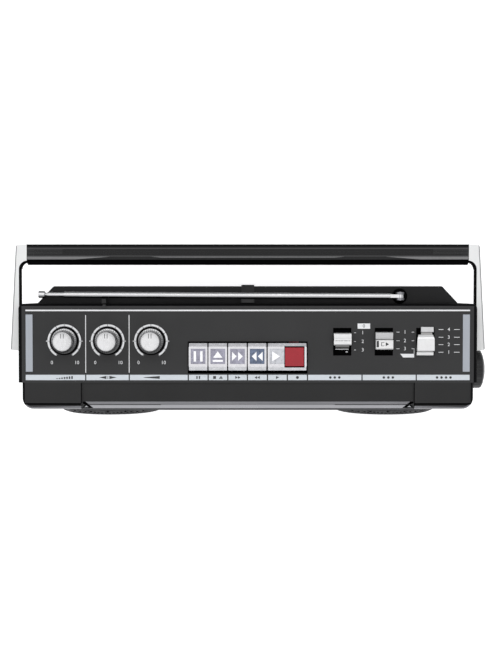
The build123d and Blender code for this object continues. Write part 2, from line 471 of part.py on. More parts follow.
for jz in (60.0, 76.0):
    j = cx(-W2 - 0.6, -W2 + 3.5, -8.0, jz, 4.0) + bx(-W2 + 3.0, -W2 + 16.5, -13.0, -3.0, jz - 5.5, jz + 5.5)
    j -= cx(-W2 - 1, -W2 + 14.0, -8.0, jz, 1.8)
    jk.append(j)
save("jack_sockets", group(*jk))
# battery contacts: plates and wound springs as stepped cones
bs = []
for row, z in enumerate((30.5, 65.5)):
    for s in (-1, 1):
        xa, xb = sorted((s * (BAT_X - 0.5), s * BAT_X))
        bs.append(bx(xa, xb, 6, 28, z - 11, z + 11))
        if (row == 0) == (s > 0):
            prof = []
            rr = [9.0, 7.6, 6.2, 4.8]
            sp = None
            for k, r in enumerate(rr):
                x_in = s * (BAT_X - 0.5 - 1.6 * k)
                x_out = s * (BAT_X - 0.5 - 1.6 * (k + 1))
                xa2, xb2 = sorted((x_in, x_out))
                seg = cx(xa2, xb2, 17, z, r) - cx(xa2 - 1, xb2 + 1, 17, z, r - 2.0)
                sp = seg if sp is None else sp + seg
            bs.append(sp)
save("battery_springs", group(*bs))
bd = bx(-BAT_X - 1.9, BAT_X + 1.9, Y_HUMP - 2.9, Y_HUMP - 0.2, BAT_Z0 - 1.4, BAT_Z1 + 1.4)
bd += bx(-9, 9, Y_HUMP - 2.0, Y_HUMP - 0.2, BAT_Z1 + 1.2, BAT_Z1 + 4.6)
for k in range(5):
    bd -= bx(-8, 8, Y_HUMP - 0.7, Y_HUMP + 1, BAT_Z1 - 1.6 - k * 2.2, BAT_Z1 - 0.6 - k * 2.2)
save("battery_door", bd)
feet = []
for fx in (-150.0, 150.0):
    for fy in (-48.6, 20.0):
        feet.append(rev_z([(0, 0), (6.0, 0), (7.0, 1.0), (7.0, Z_BOT), (0, Z_BOT)], fx, fy))
save("feet", group(*feet))
scr = []
for sx, sz in COLUMNS:
    s = rev_y([(0, 8.6), (1.4, 9.6), (1.4, 26.6), (3.4, 26.6), (3.4, 28.0), (2.2, 28.9), (0, 28.9)], sx, sz)
    s -= bx(sx - 1.9, sx + 1.9, 27.9, 30, sz - 0.4, sz + 0.4) + bx(sx - 0.4, sx + 0.4, 27.9, 30, sz - 1.9, sz + 1.9)
    scr.append(s)
save("cabinet_screws", group(*scr))

# ---------------------------------------------------------------- handle
GZ0, GZ1 = 150.0, 166.0
grip = px([(68.6, GZ1), (60.6, GZ1), (58.2, GZ1 - 0.9), (55.0, 162.4), (54.0, 159.6), (54.0, 155.0), (56.4, 151.2), (59.5, GZ0), (66.6, GZ0), (69.6, 151.8), (70.6, 155.0), (70.6, 163.4), (69.8, 165.2)], -178.9, 178.9)
for k in range(4):
    yy = 62.3 + 1.75 * k
    grip -= bx(-173.5, 173.5, yy - 0.35, yy + 0.35, GZ1 - 0.45, GZ1 + 1)
frame = grip
for s in (-1, 1):
    xa, xb = sorted((s * 184.3, s * 185.3))
    frame += bx(xa, xb, 4.0, 50.9, 157.5, GZ1 - 0.6)
    c0 = (s * 178.3, 50.4)
    q = cz(c0[0], c0[1], 157.5, GZ1 - 0.6, 7.0) - cz(c0[0], c0[1], GZ0 - 1, GZ1 + 1, 5.4)
    xa, xb = sorted((c0[0], s * 187.0))
    q &= bx(xa, xb, 50.4, 58.5, GZ0, GZ1)
    frame += q
save("handle_frame", frame)
for s, side in ((-1, "left"), (1, "right")):
    pts = [(178.95, 70.6), (187.1, 69.9), (187.95, 68.4), (192.35, -14.2), (191.3, -15.0), (185.32, -15.6), (185.32, 50.4)]
    for k in range(1, 12):
        a = math.radians(90 * k / 12)
        pts.append((178.3 + 7.02 * math.cos(a), 50.4 + 7.02 * math.sin(a)))
    pts.append((178.95, 50.4 + math.sqrt(7.02 ** 2 - 0.65 ** 2)))
    pts = [(s * x, y) for x, y in pts]
    arm = pz(pts, GZ0, GZ1)
    arm = soft(arm, [e for e in arm.edges() if (abs(e.position_at(0.5).Z - GZ1) < 0.01 or abs(e.position_at(0.5).Z - GZ0) < 0.01) and abs(e.position_at(0.5).X) > 187.5 and e.length > 40], 1.1, "chamfer")
    arm -= cx(*sorted((s * 184.5, s * 194.0)), HP_Y, HP_Z, 3.5)
    arm -= cx(*sorted((s * 189.4, s * 194.0)), HP_Y, HP_Z, 5.6)
    save(f"handle_arm_{side}", arm)
pins = []
for s in (-1, 1):
    p = cx(*sorted((s * 179.2, s * 189.5)), HP_Y, HP_Z, 3.49) + cx(*sorted((s * 179.2, s * 181.2)), HP_Y, HP_Z, 5.5)
    p += cx(*sorted((s * 189.42, s * 191.2)), HP_Y, HP_Z, 5.55)
    p -= bx(*sorted((s * 190.6, s * 192)), HP_Y - 4.2, HP_Y + 4.2, HP_Z - 0.5, HP_Z + 0.5)
    pins.append(p)
save("handle_pivot_pins", group(*pins))

# ---------------------------------------------------------------- aerial
def askew(shape):
    return shape.rotate(Axis((ANT_X, ANT_Y, 0), (0, 0, 1)), ANT_TURN)


tur = cz(ANT_X, ANT_Y, 159.0, 172.2, 4.5) + cz(ANT_X, ANT_Y, 156.6, 157.95, 5.5) + cz(ANT_X, ANT_Y, 157.9, 159.1, 4.5)
for s in (-1, 1):
    ya, yb = sorted((ANT_Y + s * 1.45, ANT_Y + s * 3.2))
    tur += bx(ANT_X - 3.2, ANT_X + 3.2, ya, yb, 172.0, ANT_Z) + cy(ANT_X, ya, yb, ANT_Z, 3.2)
    tur -= cy(ANT_X, ya - 1 if s < 0 else ya - 0.5, yb + 0.5 if s < 0 else yb + 1, ANT_Z, 1.0)
pin = cy(ANT_X, ANT_Y - 3.5, ANT_Y + 3.5, ANT_Z, 1.0)
save("antenna_swivel", askew(group(tur, pin)))
TX = ANT_X - 8.0
t1 = cx(-147.2, TX, ANT_Y, ANT_Z, 2.5)
t1 -= cx(-148, TX - 4.0, ANT_Y, ANT_Z, 2.08)
t1 += bx(TX - 0.5, ANT_X, ANT_Y - 1.3, ANT_Y + 1.3, ANT_Z - 2.2, ANT_Z + 2.2) + cy(ANT_X, ANT_Y - 1.3, ANT_Y + 1.3, ANT_Z, 3.0)
t1 += rev_x([(0, TX - 0.6), (2.5, TX - 0.6), (1.6, TX + 2.6), (0, TX + 2.6)], ANT_Y, ANT_Z)
t1 -= cy(ANT_X, ANT_Y - 3, ANT_Y + 3, ANT_Z, 1.05)
save("antenna_tube_1", askew(t1))
t2 = cx(-160.6, TX - 6.0, ANT_Y, ANT_Z, 2.0) - cx(-162, TX - 8.0, ANT_Y, ANT_Z, 1.58)
save("antenna_tube_2", askew(t2))
t3 = cx(-161.6, TX - 10.0, ANT_Y, ANT_Z, 1.5) - cx(-163, TX - 12.0, ANT_Y, ANT_Z, 1.08)
save("antenna_tube_3", askew(t3))
t4 = cx(-162.0, TX - 14.0, ANT_Y, ANT_Z, 1.0)
t4 += rev_x([(0, -162.6), (2.3, -162.6), (2.85, -163.1), (2.85, -167.4), (2.3, -168.0), (0, -168.0)], ANT_Y, ANT_Z)
t4 += cx(-162.7, -161.9, ANT_Y, ANT_Z, 1.0)
save("antenna_tip_rod", askew(t4))
# clips: a saddle at the middle, open to the rear, and a small rest at the left
c1 = bx(-5.2, 5.2, 23.4, Y_HUMP, Z_HUMP, 172.6) + bx(-5.2, 5.2, 23.4, 26.2, Z_HUMP, 178.0)
c1 += bx(-5.2, 5.2, Y_HUMP, 37.9, 165.0, 172.6)
c1 -= bx(-3.6, 3.6, 32.9, 36.4, 171.9, 174)
c2 = bx(-117.0, -113.6, 22.9, 32.3, Z_HUMP, 172.6) + bx(-117.0, -113.6, 22.9, 26.4, Z_HUMP, 179.0)
save("antenna_clips", group(c1, c2))

# ---------------------------------------------------------------- tuning knob
tk = rev_x([(0, 184.3), (14.9, 184.3), (TK_R, 185.0), (TK_R, 190.6), (15.2, 191.9), (13.0, 193.0), (8.0, 194.3), (0, 195.4)], TK_Y, TK_Z)
grooves = None
for k in range(36):
    a = 2 * math.pi * k / 36
    gx = cx(184.5, 193.4, TK_Y + (TK_R + 0.25) * math.cos(a), TK_Z + (TK_R + 0.25) * math.sin(a), 0.75)
    grooves = gx if grooves is None else grooves + gx
tk -= grooves
tk += cx(160.0, 184.5, TK_Y, TK_Z, 3.0)
save("tuning_knob", tk)

boxes = [n.bounding_box() for n in NODES.values()]
lo = [min(b.min.X for b in boxes), min(b.min.Y for b in boxes), min(b.min.Z for b in boxes)]
hi = [max(b.max.X for b in boxes), max(b.max.Y for b in boxes), max(b.max.Z for b in boxes)]
print(len(NODES), "nodes; box", [round(v, 2) for v in lo], [round(v, 2) for v in hi])
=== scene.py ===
import math
import bpy
import bmesh
from mathutils import Vector, Matrix


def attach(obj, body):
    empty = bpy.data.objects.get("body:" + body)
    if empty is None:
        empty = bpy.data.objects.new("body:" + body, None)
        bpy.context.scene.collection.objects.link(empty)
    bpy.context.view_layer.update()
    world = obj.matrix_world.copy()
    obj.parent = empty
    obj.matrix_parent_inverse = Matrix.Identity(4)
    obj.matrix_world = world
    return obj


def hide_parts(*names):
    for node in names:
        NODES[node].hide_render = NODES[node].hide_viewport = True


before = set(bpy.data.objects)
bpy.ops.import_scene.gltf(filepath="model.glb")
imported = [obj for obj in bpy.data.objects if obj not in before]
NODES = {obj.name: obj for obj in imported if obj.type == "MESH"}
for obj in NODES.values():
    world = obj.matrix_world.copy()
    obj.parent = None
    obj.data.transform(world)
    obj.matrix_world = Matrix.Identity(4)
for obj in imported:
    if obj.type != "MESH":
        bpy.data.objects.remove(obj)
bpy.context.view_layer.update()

# Drawing coordinates are millimetres, symmetrical about X = 0, Z from the table.
OX, OY = -1.525, 1.8
Z_TOP = 180.0


def D(x, y, z):
    return Vector(((x + OX) / 1000.0, (y + OY) / 1000.0, z / 1000.0))


# ------------------------------------------------------------------ camera
cam_data = bpy.data.cameras.new("camera")
cam = bpy.data.objects.new("camera", cam_data)
bpy.context.scene.collection.objects.link(cam)
eye = D(0.0, 33.6, 1280.0)
aim = D(0.16, 0.0, Z_TOP)
cam.location = eye
look = (aim - eye).normalized()
up = Vector((0, 1, 0))
right = look.cross(up).normalized()
up = right.cross(look).normalized()
cam.rotation_mode = "QUATERNION"
cam.rotation_quaternion = Matrix((right, up, -look)).transposed().to_quaternion()
cam_data.sensor_width = 36.0
cam_data.lens = 74.55
cam_data.clip_start, cam_data.clip_end = 0.02, 30.0
bpy.context.scene.camera = cam

# ------------------------------------------------------------------ light
scene = bpy.context.scene
scene.view_settings.view_transform = "Standard"
scene.view_settings.look = "None"
world = bpy.data.worlds.new("studio")
scene.world = world
world.use_nodes = True
wn = world.node_tree
wn.nodes.clear()
w_out = wn.nodes.new("ShaderNodeOutputWorld")
w_bg = wn.nodes.new("ShaderNodeBackground")
w_co = wn.nodes.new("ShaderNodeTexCoord")
w_sep = wn.nodes.new("ShaderNodeSeparateXYZ")
w_ramp = wn.nodes.new("ShaderNodeValToRGB")
w_ramp.color_ramp.elements[0].position = 0.0
w_ramp.color_ramp.elements[0].color = (0.60, 0.61, 0.63, 1)
w_ramp.color_ramp.elements[1].position = 0.95
w_ramp.color_ramp.elements[1].color = (0.92, 0.92, 0.93, 1)
wn.links.new(w_co.outputs["Generated"], w_sep.inputs[0])
wn.links.new(w_sep.outputs["Z"], w_ramp.inputs[0])
wn.links.new(w_ramp.outputs[0], w_bg.inputs["Color"])
w_bg.inputs["Strength"].default_value = 0.86
wn.links.new(w_bg.outputs[0], w_out.inputs[0])


def area(name, where, at, size, size_y, radiance, colour=(1, 1, 1)):
    """Soft panel lamp of a stated brightness."""
    data = bpy.data.lights.new(name, "AREA")
    data.shape = "RECTANGLE"
    data.size, data.size_y = size, size_y
    data.energy = radiance * math.pi * size * size_y
    data.color = colour
    o = bpy.data.objects.new(name, data)
    scene.collection.objects.link(o)
    o.location = where
    o.rotation_mode = "QUATERNION"
    o.rotation_quaternion = (Vector(at) - Vector(where)).to_track_quat("-Z", "Y")
    return o


area("top_soft", (0.0, 0.05, 2.1), (0, 0, 0.1), 1.9, 1.3, 0.55)
area("rear_strip", (0.0, 0.95, 1.35), (0, 0, 0.15), 2.0, 0.30, 3.0)
area("front_soft", (0.15, -1.5, 1.15), (0, 0, 0.1), 1.7, 0.8, 1.5, (0.98, 0.99, 1.0))
area("left_soft", (-1.5, 0.2, 0.9), (0, 0, 0.1), 0.9, 0.7, 1.2)

# ------------------------------------------------------------------ materials
MATS = {}


def mat(name, base, rough, metal=0.0, *, grain=0.0, grain_scale=900.0, bump=0.0, bump_scale=900.0,
        rough_var=0.06, var_scale=60.0, scratches=0.0, coat=0.0, coat_rough=0.1, transmission=0.0,
        ior=None, alpha=None, edge=0.0, spec=None, stretch=None, smudge=0.0, tone=None):
    """Procedural plastic, metal or clear moulding: cloudy colour variation, fine grain,
    uneven gloss, a small bump, fine scratches, and paler rubbed edges; a tone ramp, where given,
    is painted light and shade set by the way each face turns."""
    m = bpy.data.materials.new(name)
    m.use_nodes = True
    nt = m.node_tree
    nt.nodes.clear()
    out = nt.nodes.new("ShaderNodeOutputMaterial")
    b = nt.nodes.new("ShaderNodeBsdfPrincipled")
    nt.links.new(b.outputs[0], out.inputs[0])
    b.inputs["Metallic"].default_value = metal
    if coat:
        b.inputs["Coat Weight"].default_value = coat
        b.inputs["Coat Roughness"].default_value = coat_rough
    if transmission:
        b.inputs["Transmission Weight"].default_value = transmission
    if ior:
        b.inputs["IOR"].default_value = ior
    if alpha is not None:
        b.inputs["Alpha"].default_value = alpha
    if spec is not None:
        b.inputs["Specular IOR Level"].default_value = spec
    co = nt.nodes.new("ShaderNodeTexCoord")
    src = co.outputs["Object"]
    if stretch:
        mp = nt.nodes.new("ShaderNodeMapping")
        mp.inputs["Scale"].default_value = stretch
        nt.links.new(src, mp.inputs["Vector"])
        src_s = mp.outputs[0]
    else:
        src_s = src

    def noise(scale, detail, vec):
        n = nt.nodes.new("ShaderNodeTexNoise")
        n.inputs["Scale"].default_value = scale
        n.inputs["Detail"].default_value = detail
        nt.links.new(vec, n.inputs["Vector"])
        return n.outputs["Fac"]

    cloud = noise(var_scale, 4.0, src)
    fine = noise(grain_scale, 2.0, src_s)
    # colour: base, darker and lighter by the grain
    mixf = nt.nodes.new("ShaderNodeMath")
    mixf.operation = "MULTIPLY_ADD"
    nt.links.new(cloud, mixf.inputs[0])
    mixf.inputs[1].default_value = 0.45
    mixf2 = nt.nodes.new("ShaderNodeMath")
    mixf2.operation = "MULTIPLY"
    nt.links.new(fine, mixf2.inputs[0])
    mixf2.inputs[1].default_value = 0.55
    nt.links.new(mixf2.outputs[0], mixf.inputs[2])
    ramp = nt.nodes.new("ShaderNodeValToRGB")
    g = max(grain, 0.03)
    ramp.color_ramp.elements[0].position = 0.32
    ramp.color_ramp.elements[0].color = (*[max(0.0, c * (1 - g)) for c in base], 1)
    ramp.color_ramp.elements[1].position = 0.68
    ramp.color_ramp.elements[1].color = (*[min(1.0, c * (1 + g)) for c in base], 1)
    nt.links.new(mixf.outputs[0], ramp.inputs[0])
    colour = ramp.outputs[0]
    if edge:
        geo = nt.nodes.new("ShaderNodeNewGeometry")
        er = nt.nodes.new("ShaderNodeMapRange")
        er.inputs["From Min"].default_value = 0.53
        er.inputs["From Max"].default_value = 0.62
        er.inputs["To Max"].default_value = edge
        nt.links.new(geo.outputs["Pointiness"], er.inputs["Value"])
        mx = nt.nodes.new("ShaderNodeMix")
        mx.data_type = "RGBA"
        nt.links.new(er.outputs[0], mx.inputs["Factor"])
        nt.links.new(colour, mx.inputs["A"])
        mx.inputs["B"].default_value = (*[min(1, c * 1.6 + 0.03) for c in base], 1)
        colour = mx.outputs["Result"]
    if tone:
        # painted light and shade: the colour is multiplied by a ramp read from the object-space normal's Y, so faces
        # turned to the front, up or to the rear take painted shade or painted highlight
        sp = nt.nodes.new("ShaderNodeSeparateXYZ")
        nt.links.new(co.outputs["Normal"], sp.inputs[0])
        ma = nt.nodes.new("ShaderNodeMapRange")
        ma.inputs["From Min"].default_value = -1.0
        nt.links.new(sp.outputs["Y"], ma.inputs["Value"])
        tr = nt.nodes.new("ShaderNodeValToRGB")
        while len(tr.color_ramp.elements) < len(tone):
            tr.color_ramp.elements.new(0.5)
        for el, (pos, val) in zip(tr.color_ramp.elements, tone):
            el.position = pos
            el.color = (val, val, val, 1)
        nt.links.new(ma.outputs[0], tr.inputs[0])
        mt = nt.nodes.new("ShaderNodeMix")
        mt.data_type = "RGBA"
        mt.blend_type = "MULTIPLY"
        mt.inputs["Factor"].default_value = 1.0
        nt.links.new(colour, mt.inputs["A"])
        nt.links.new(tr.outputs[0], mt.inputs["B"])
        colour = mt.outputs["Result"]
    nt.links.new(colour, b.inputs["Base Color"])
    rr = nt.nodes.new("ShaderNodeMapRange")
    rr.inputs["From Min"].default_value = 0.3
    rr.inputs["From Max"].default_value = 0.7
    rr.inputs["To Min"].default_value = max(0.02, rough - rough_var)
    rr.inputs["To Max"].default_value = min(1.0, rough + rough_var)
    if smudge:
        sm = noise(14.0, 3.0, src)
        ad = nt.nodes.new("ShaderNodeMath")
        ad.operation = "MULTIPLY_ADD"
        nt.links.new(sm, ad.inputs[0])
        ad.inputs[1].default_value = smudge
        nt.links.new(cloud, ad.inputs[2])
        nt.links.new(ad.outputs[0], rr.inputs["Value"])
    else:
        nt.links.new(cloud, rr.inputs["Value"])
    nt.links.new(rr.outputs[0], b.inputs["Roughness"])
    h = None
    if bump:
        bp = nt.nodes.new("ShaderNodeBump")
        bp.inputs["Strength"].default_value = bump
        bp.inputs["Distance"].default_value = 0.0003
        nt.links.new(noise(bump_scale, 3.0, src_s), bp.inputs["Height"])
        h = bp
    if scratches:
        mp2 = nt.nodes.new("ShaderNodeMapping")
        mp2.inputs["Scale"].default_value = (9.0, 1.0, 9.0)
        mp2.inputs["Rotation"].default_value = (0, 0, 0.5)
        nt.links.new(src, mp2.inputs["Vector"])
        bp2 = nt.nodes.new("ShaderNodeBump")
        bp2.inputs["Strength"].default_value = scratches
        bp2.inputs["Distance"].default_value = 0.0002
        nt.links.new(noise(160.0, 2.0, mp2.outputs[0]), bp2.inputs["Height"])
        if h:
            nt.links.new(h.outputs[0], bp2.inputs["Normal"])
        h = bp2
    if h:
        nt.links.new(h.outputs[0], b.inputs["Normal"])
    MATS[name] = m
    return m


mat("panel_charcoal", (0.0112, 0.0112, 0.0118), 0.60, grain=0.18, grain_scale=1500, bump=0.22, bump_scale=1700, var_scale=25, edge=0.10)
mat("cabinet_black", (0.0042, 0.0042, 0.0046), 0.54, grain=0.18, grain_scale=1300, bump=0.35, bump_scale=1100, var_scale=20, edge=0.20, spec=0.22)
# edge_black and slot_black are darker copies of the black plastic: besides real dark joints and dark pieces they are
# painted shade on fillets, sides and faces down in slots
mat("edge_black", (0.0022, 0.0022, 0.0025), 0.70, grain=0.14, grain_scale=1300, bump=0.12, bump_scale=1200, edge=0.05, spec=0.05)
mat("slot_black", (0.0016, 0.0016, 0.0017), 0.85, grain=0.14, grain_scale=1300, bump=0.10, bump_scale=1200, spec=0.03)
mat("pod_charcoal", (0.0086, 0.0086, 0.0087), 0.62, grain=0.16, grain_scale=1500, bump=0.26, bump_scale=1500, var_scale=22, edge=0.10, spec=0.38)
mat("silver_face", (0.43, 0.435, 0.45), 0.36, 0.75, grain=0.04, grain_scale=2600, bump=0.06, bump_scale=2400, var_scale=40, edge=0.2, coat=0.2, coat_rough=0.2)
mat("silver_trim", (0.29, 0.29, 0.305), 0.30, 0.9, grain=0.04, grain_scale=2200, bump=0.03, bump_scale=2200, edge=0.2)
mat("silver_round_shade", (0.15, 0.15, 0.158), 0.34, 0.85, grain=0.05, grain_scale=2200, bump=0.04, bump_scale=2200, edge=0.3)
mat("arm_silver", (0.745, 0.75, 0.745), 0.42, 0.30, grain=0.03, grain_scale=2600, bump=0.08, bump_scale=2200, var_scale=30, edge=0.0)
mat("arm_side_shade", (0.27, 0.272, 0.275), 0.42, 0.50, grain=0.03, grain_scale=2600, bump=0.08, bump_scale=2200, var_scale=30)
mat("grip_black", (0.0052, 0.0052, 0.0056), 0.44, grain=0.18, grain_scale=900, bump=0.22, bump_scale=900, edge=0.3, smudge=0.5, spec=0.32)
mat("grip_highlight_grey", (0.028, 0.028, 0.029), 0.40, grain=0.12, grain_scale=900, bump=0.12, bump_scale=900, spec=0.5)
mat("grip_shine", (0.17, 0.17, 0.172), 0.38, grain=0.10, grain_scale=700, bump=0.12, bump_scale=900, spec=0.5)
mat("gloss_black", (0.0022, 0.0022, 0.0025), 0.30, grain=0.10, bump=0.05, rough_var=0.05, edge=0.10, spec=0.15)
mat("dial_knob_black", (0.0062, 0.0062, 0.0066), 0.40, grain=0.14, grain_scale=1400, bump=0.10, rough_var=0.05, edge=0.20, spec=0.45)
mat("chrome", (0.68, 0.68, 0.70), 0.12, 1.0, grain=0.03, grain_scale=400, rough_var=0.04, var_scale=120, scratches=0.04)
# mast_chrome's tone is painted reflection and shade: near-black along the front side, bright along the crown, grey to
# the rear
mat("mast_chrome", (0.98, 0.98, 1.0), 0.16, 1.0, grain=0.03, grain_scale=500, rough_var=0.05, var_scale=200, scratches=0.05,
    tone=[(0.0, 0.02), (0.14, 0.03), (0.27, 0.13), (0.36, 0.50), (0.47, 0.66), (0.60, 0.60), (0.74, 0.34), (0.92, 0.24), (1.0, 0.20)])
mat("key_chrome", (0.60, 0.595, 0.615), 0.26, 0.9, grain=0.07, grain_scale=420, rough_var=0.06, var_scale=300, bump=0.30, bump_scale=330, scratches=0.15)
mat("key_bright", (0.82, 0.82, 0.84), 0.22, 0.8, grain=0.05, grain_scale=420, rough_var=0.06, var_scale=300, bump=0.15, bump_scale=330)
mat("key_field", (0.30, 0.295, 0.36), 0.34, 0.6, grain=0.30, grain_scale=380, rough_var=0.10, var_scale=420, bump=0.5, bump_scale=300)
mat("key_field_blue", (0.12, 0.15, 0.22), 0.34, 0.6, grain=0.30, grain_scale=380, rough_var=0.10, var_scale=420, bump=0.5, bump_scale=300)
mat("key_field_pale", (0.50, 0.51, 0.54), 0.34, 0.6, grain=0.28, grain_scale=380, rough_var=0.10, var_scale=420, bump=0.5, bump_scale=300)
mat("lever_chrome", (0.70, 0.70, 0.70), 0.34, 0.55, grain=0.05, grain_scale=500, rough_var=0.05, var_scale=260, bump=0.10, bump_scale=420, scratches=0.05)
mat("lever_grey", (0.36, 0.355, 0.35), 0.36, 0.5, grain=0.05, grain_scale=500, rough_var=0.05, var_scale=260, bump=0.08, bump_scale=500)
mat("lever_pale", (0.56, 0.56, 0.565), 0.34, 0.5, grain=0.05, grain_scale=500, rough_var=0.05, var_scale=260, bump=0.08, bump_scale=500)
mat("key_red", (0.33, 0.0105, 0.021), 0.40, grain=0.14, grain_scale=1500, bump=0.14, bump_scale=1500, edge=0.3, spec=0.4)
# knob_skirt's tone is painted shade and highlight: dark on the side facing the front, light on the side facing the rear
mat("knob_skirt", (0.80, 0.80, 0.81), 0.26, 0.9, grain=0.10, grain_scale=1500, bump=0.12, bump_scale=1200, edge=0.0,
    tone=[(0.0, 0.035), (0.30, 0.06), (0.48, 0.20), (0.62, 0.42), (0.80, 0.66), (1.0, 0.72)])
mat("print_white", (0.76, 0.765, 0.775), 0.60, grain=0.05, grain_scale=2500, bump=0.10, bump_scale=2500, spec=0.3)
mat("print_grey", (0.30, 0.305, 0.31), 0.55, grain=0.05, grain_scale=2500, bump=0.10, bump_scale=2500, spec=0.3)
mat("print_blue", (0.365, 0.39, 0.43), 0.55, grain=0.06, grain_scale=2500, bump=0.10, bump_scale=2500, var_scale=18, spec=0.4)
mat("print_pale", (0.59, 0.625, 0.66), 0.55, grain=0.04, grain_scale=2500, bump=0.10, bump_scale=2500, var_scale=18, spec=0.4)
mat("print_dark", (0.025, 0.026, 0.028), 0.50, grain=0.08, grain_scale=2500, bump=0.10, bump_scale=2500)
mat("print_red", (0.50, 0.03, 0.02), 0.45, grain=0.08, grain_scale=2500, bump=0.10, bump_scale=2500)
mat("dial_face", (0.020, 0.024, 0.028), 0.40, grain=0.10, grain_scale=2500, bump=0.05, bump_scale=2500)
mat("clear_window", (0.92, 0.94, 0.95), 0.05, grain=0.02, rough_var=0.02, transmission=1.0, ior=1.49, scratches=0.01)
mat("grille_metal", (0.014, 0.014, 0.0155), 0.58, 0.0, grain=0.12, grain_scale=1800, bump=0.12, bump_scale=2200, edge=0.3, spec=0.16)
mat("grille_rim", (0.60, 0.60, 0.62), 0.18, 1.0, grain=0.04, grain_scale=1800, rough_var=0.05, scratches=0.05, edge=0.2)
mat("cone_paper", (0.018, 0.018, 0.018), 0.85, grain=0.30, grain_scale=1100, bump=0.5, bump_scale=1300)
mat("speaker_metal", (0.30, 0.30, 0.29), 0.42, 0.9, grain=0.10, grain_scale=700, bump=0.15, bump_scale=900)
mat("steel", (0.55, 0.55, 0.54), 0.34, 1.0, grain=0.07, grain_scale=500, stretch=(1, 1, 12), bump=0.15, bump_scale=500, scratches=0.15)
mat("brass", (0.62, 0.46, 0.20), 0.28, 1.0, grain=0.08, grain_scale=800, bump=0.08, scratches=0.10)
mat("trim_grey", (0.21, 0.21, 0.222), 0.34, 0.8, grain=0.06, grain_scale=1800, bump=0.04, bump_scale=2000, edge=0.2, var_scale=30)
mat("trim_dark", (0.030, 0.030, 0.033), 0.40, 0.3, grain=0.08, grain_scale=1800, bump=0.06, bump_scale=2000, edge=0.2)
mat("rubber_black", (0.016, 0.016, 0.016), 0.78, grain=0.20, grain_scale=900, bump=0.35, bump_scale=1200, spec=0.3)
mat("board", (0.26, 0.15, 0.055), 0.55, grain=0.14, grain_scale=350, bump=0.10, bump_scale=700)
mat("part_grey", (0.20, 0.20, 0.20), 0.50, grain=0.10, grain_scale=1200, bump=0.15, edge=0.2)
mat("iron", (0.10, 0.10, 0.11), 0.50, 0.8, grain=0.20, grain_scale=600, stretch=(1, 1, 22), bump=0.5, bump_scale=700)
mat("ferrite", (0.050, 0.047, 0.045), 0.60, grain=0.25, grain_scale=900, bump=0.3, bump_scale=900)

NODE_MATS = {
    "rear_cabinet": "cabinet_black", "front_cabinet": "pod_charcoal", "control_panel": "panel_charcoal",
    "dial_bezel": "silver_trim", "dial_window": "clear_window", "dial_scale": "dial_face", "dial_pointer": "print_red",
    "speaker_baffle_left": "silver_face", "speaker_baffle_right": "silver_face",
    "speaker_grille_left": "grille_metal", "speaker_grille_right": "grille_metal",
    "speaker_baskets": "speaker_metal", "speaker_cones": "cone_paper",
    "cassette_door": "silver_face", "cassette_window": "clear_window", "deck_chassis": "steel", "deck_motor": "steel",
    "motor_pulley": "brass", "flywheel": "brass", "drive_belt": "rubber_black", "supply_spindle": "part_grey",
    "takeup_spindle": "part_grey", "head_bridge": "steel", "pinch_roller": "rubber_black", "key_pivot_rod": "steel",
    "pause_key": "key_chrome", "stop_key": "key_chrome", "forward_key": "key_chrome", "rewind_key": "key_chrome",
    "play_key": "key_chrome", "record_key": "key_red", "volume_knob": "knob_skirt", "balance_knob": "knob_skirt",
    "tone_knob": "knob_skirt", "function_lever": "lever_chrome", "mode_lever": "lever_chrome", "band_lever": "lever_chrome",
    "panel_controls": "part_grey", "control_circuit_board": "board", "main_circuit_board": "board",
    "tuning_capacitor": "part_grey", "ferrite_rod_aerial": "ferrite", "power_transformer": "iron", "mains_inlet": "gloss_black",
    "jack_sockets": "gloss_black", "battery_springs": "steel", "battery_door": "panel_charcoal", "feet": "rubber_black",
    "cabinet_screws": "steel", "handle_frame": "grip_black", "handle_arm_left": "arm_silver", "handle_arm_right": "arm_silver",
    "handle_pivot_pins": "steel", "antenna_swivel": "trim_grey", "antenna_tube_1": "mast_chrome", "antenna_tube_2": "mast_chrome",
    "antenna_tube_3": "mast_chrome", "antenna_tip_rod": "mast_chrome", "antenna_clips": "pod_charcoal", "tuning_knob": "dial_knob_black",
}
for n, o in NODES.items():
    o.data.materials.clear()
    o.data.materials.append(MATS[NODE_MATS[n]])


def paint(node, rules):
    """Gives the faces of a CAD node that a rule accepts another material. A rule is
    (material name, function of the face's centre in drawing mm and its normal)."""
    me = NODES[node].data
    base = len(me.materials)
    for name, _ in rules:
        me.materials.append(MATS[name])
    for p in me.polygons:
        c = p.center
        x, y, z = c.x * 1000 - OX, c.y * 1000 - OY, c.z * 1000
        for k, (_, test) in enumerate(rules):
            if test(x, y, z, p.normal):
                p.material_index = base + k
                break


# Painted shade on the panel: the walls of its openings below the top take near-black, its fillets and sides a darker
# black.
paint("control_panel", [
    ("slot_black", lambda x, y, z, n: z < 179.3 and abs(x) < 181 and -40 < y < 20),
    ("edge_black", lambda x, y, z, n: n.z < 0.93 or abs(x) > 181.1),
])
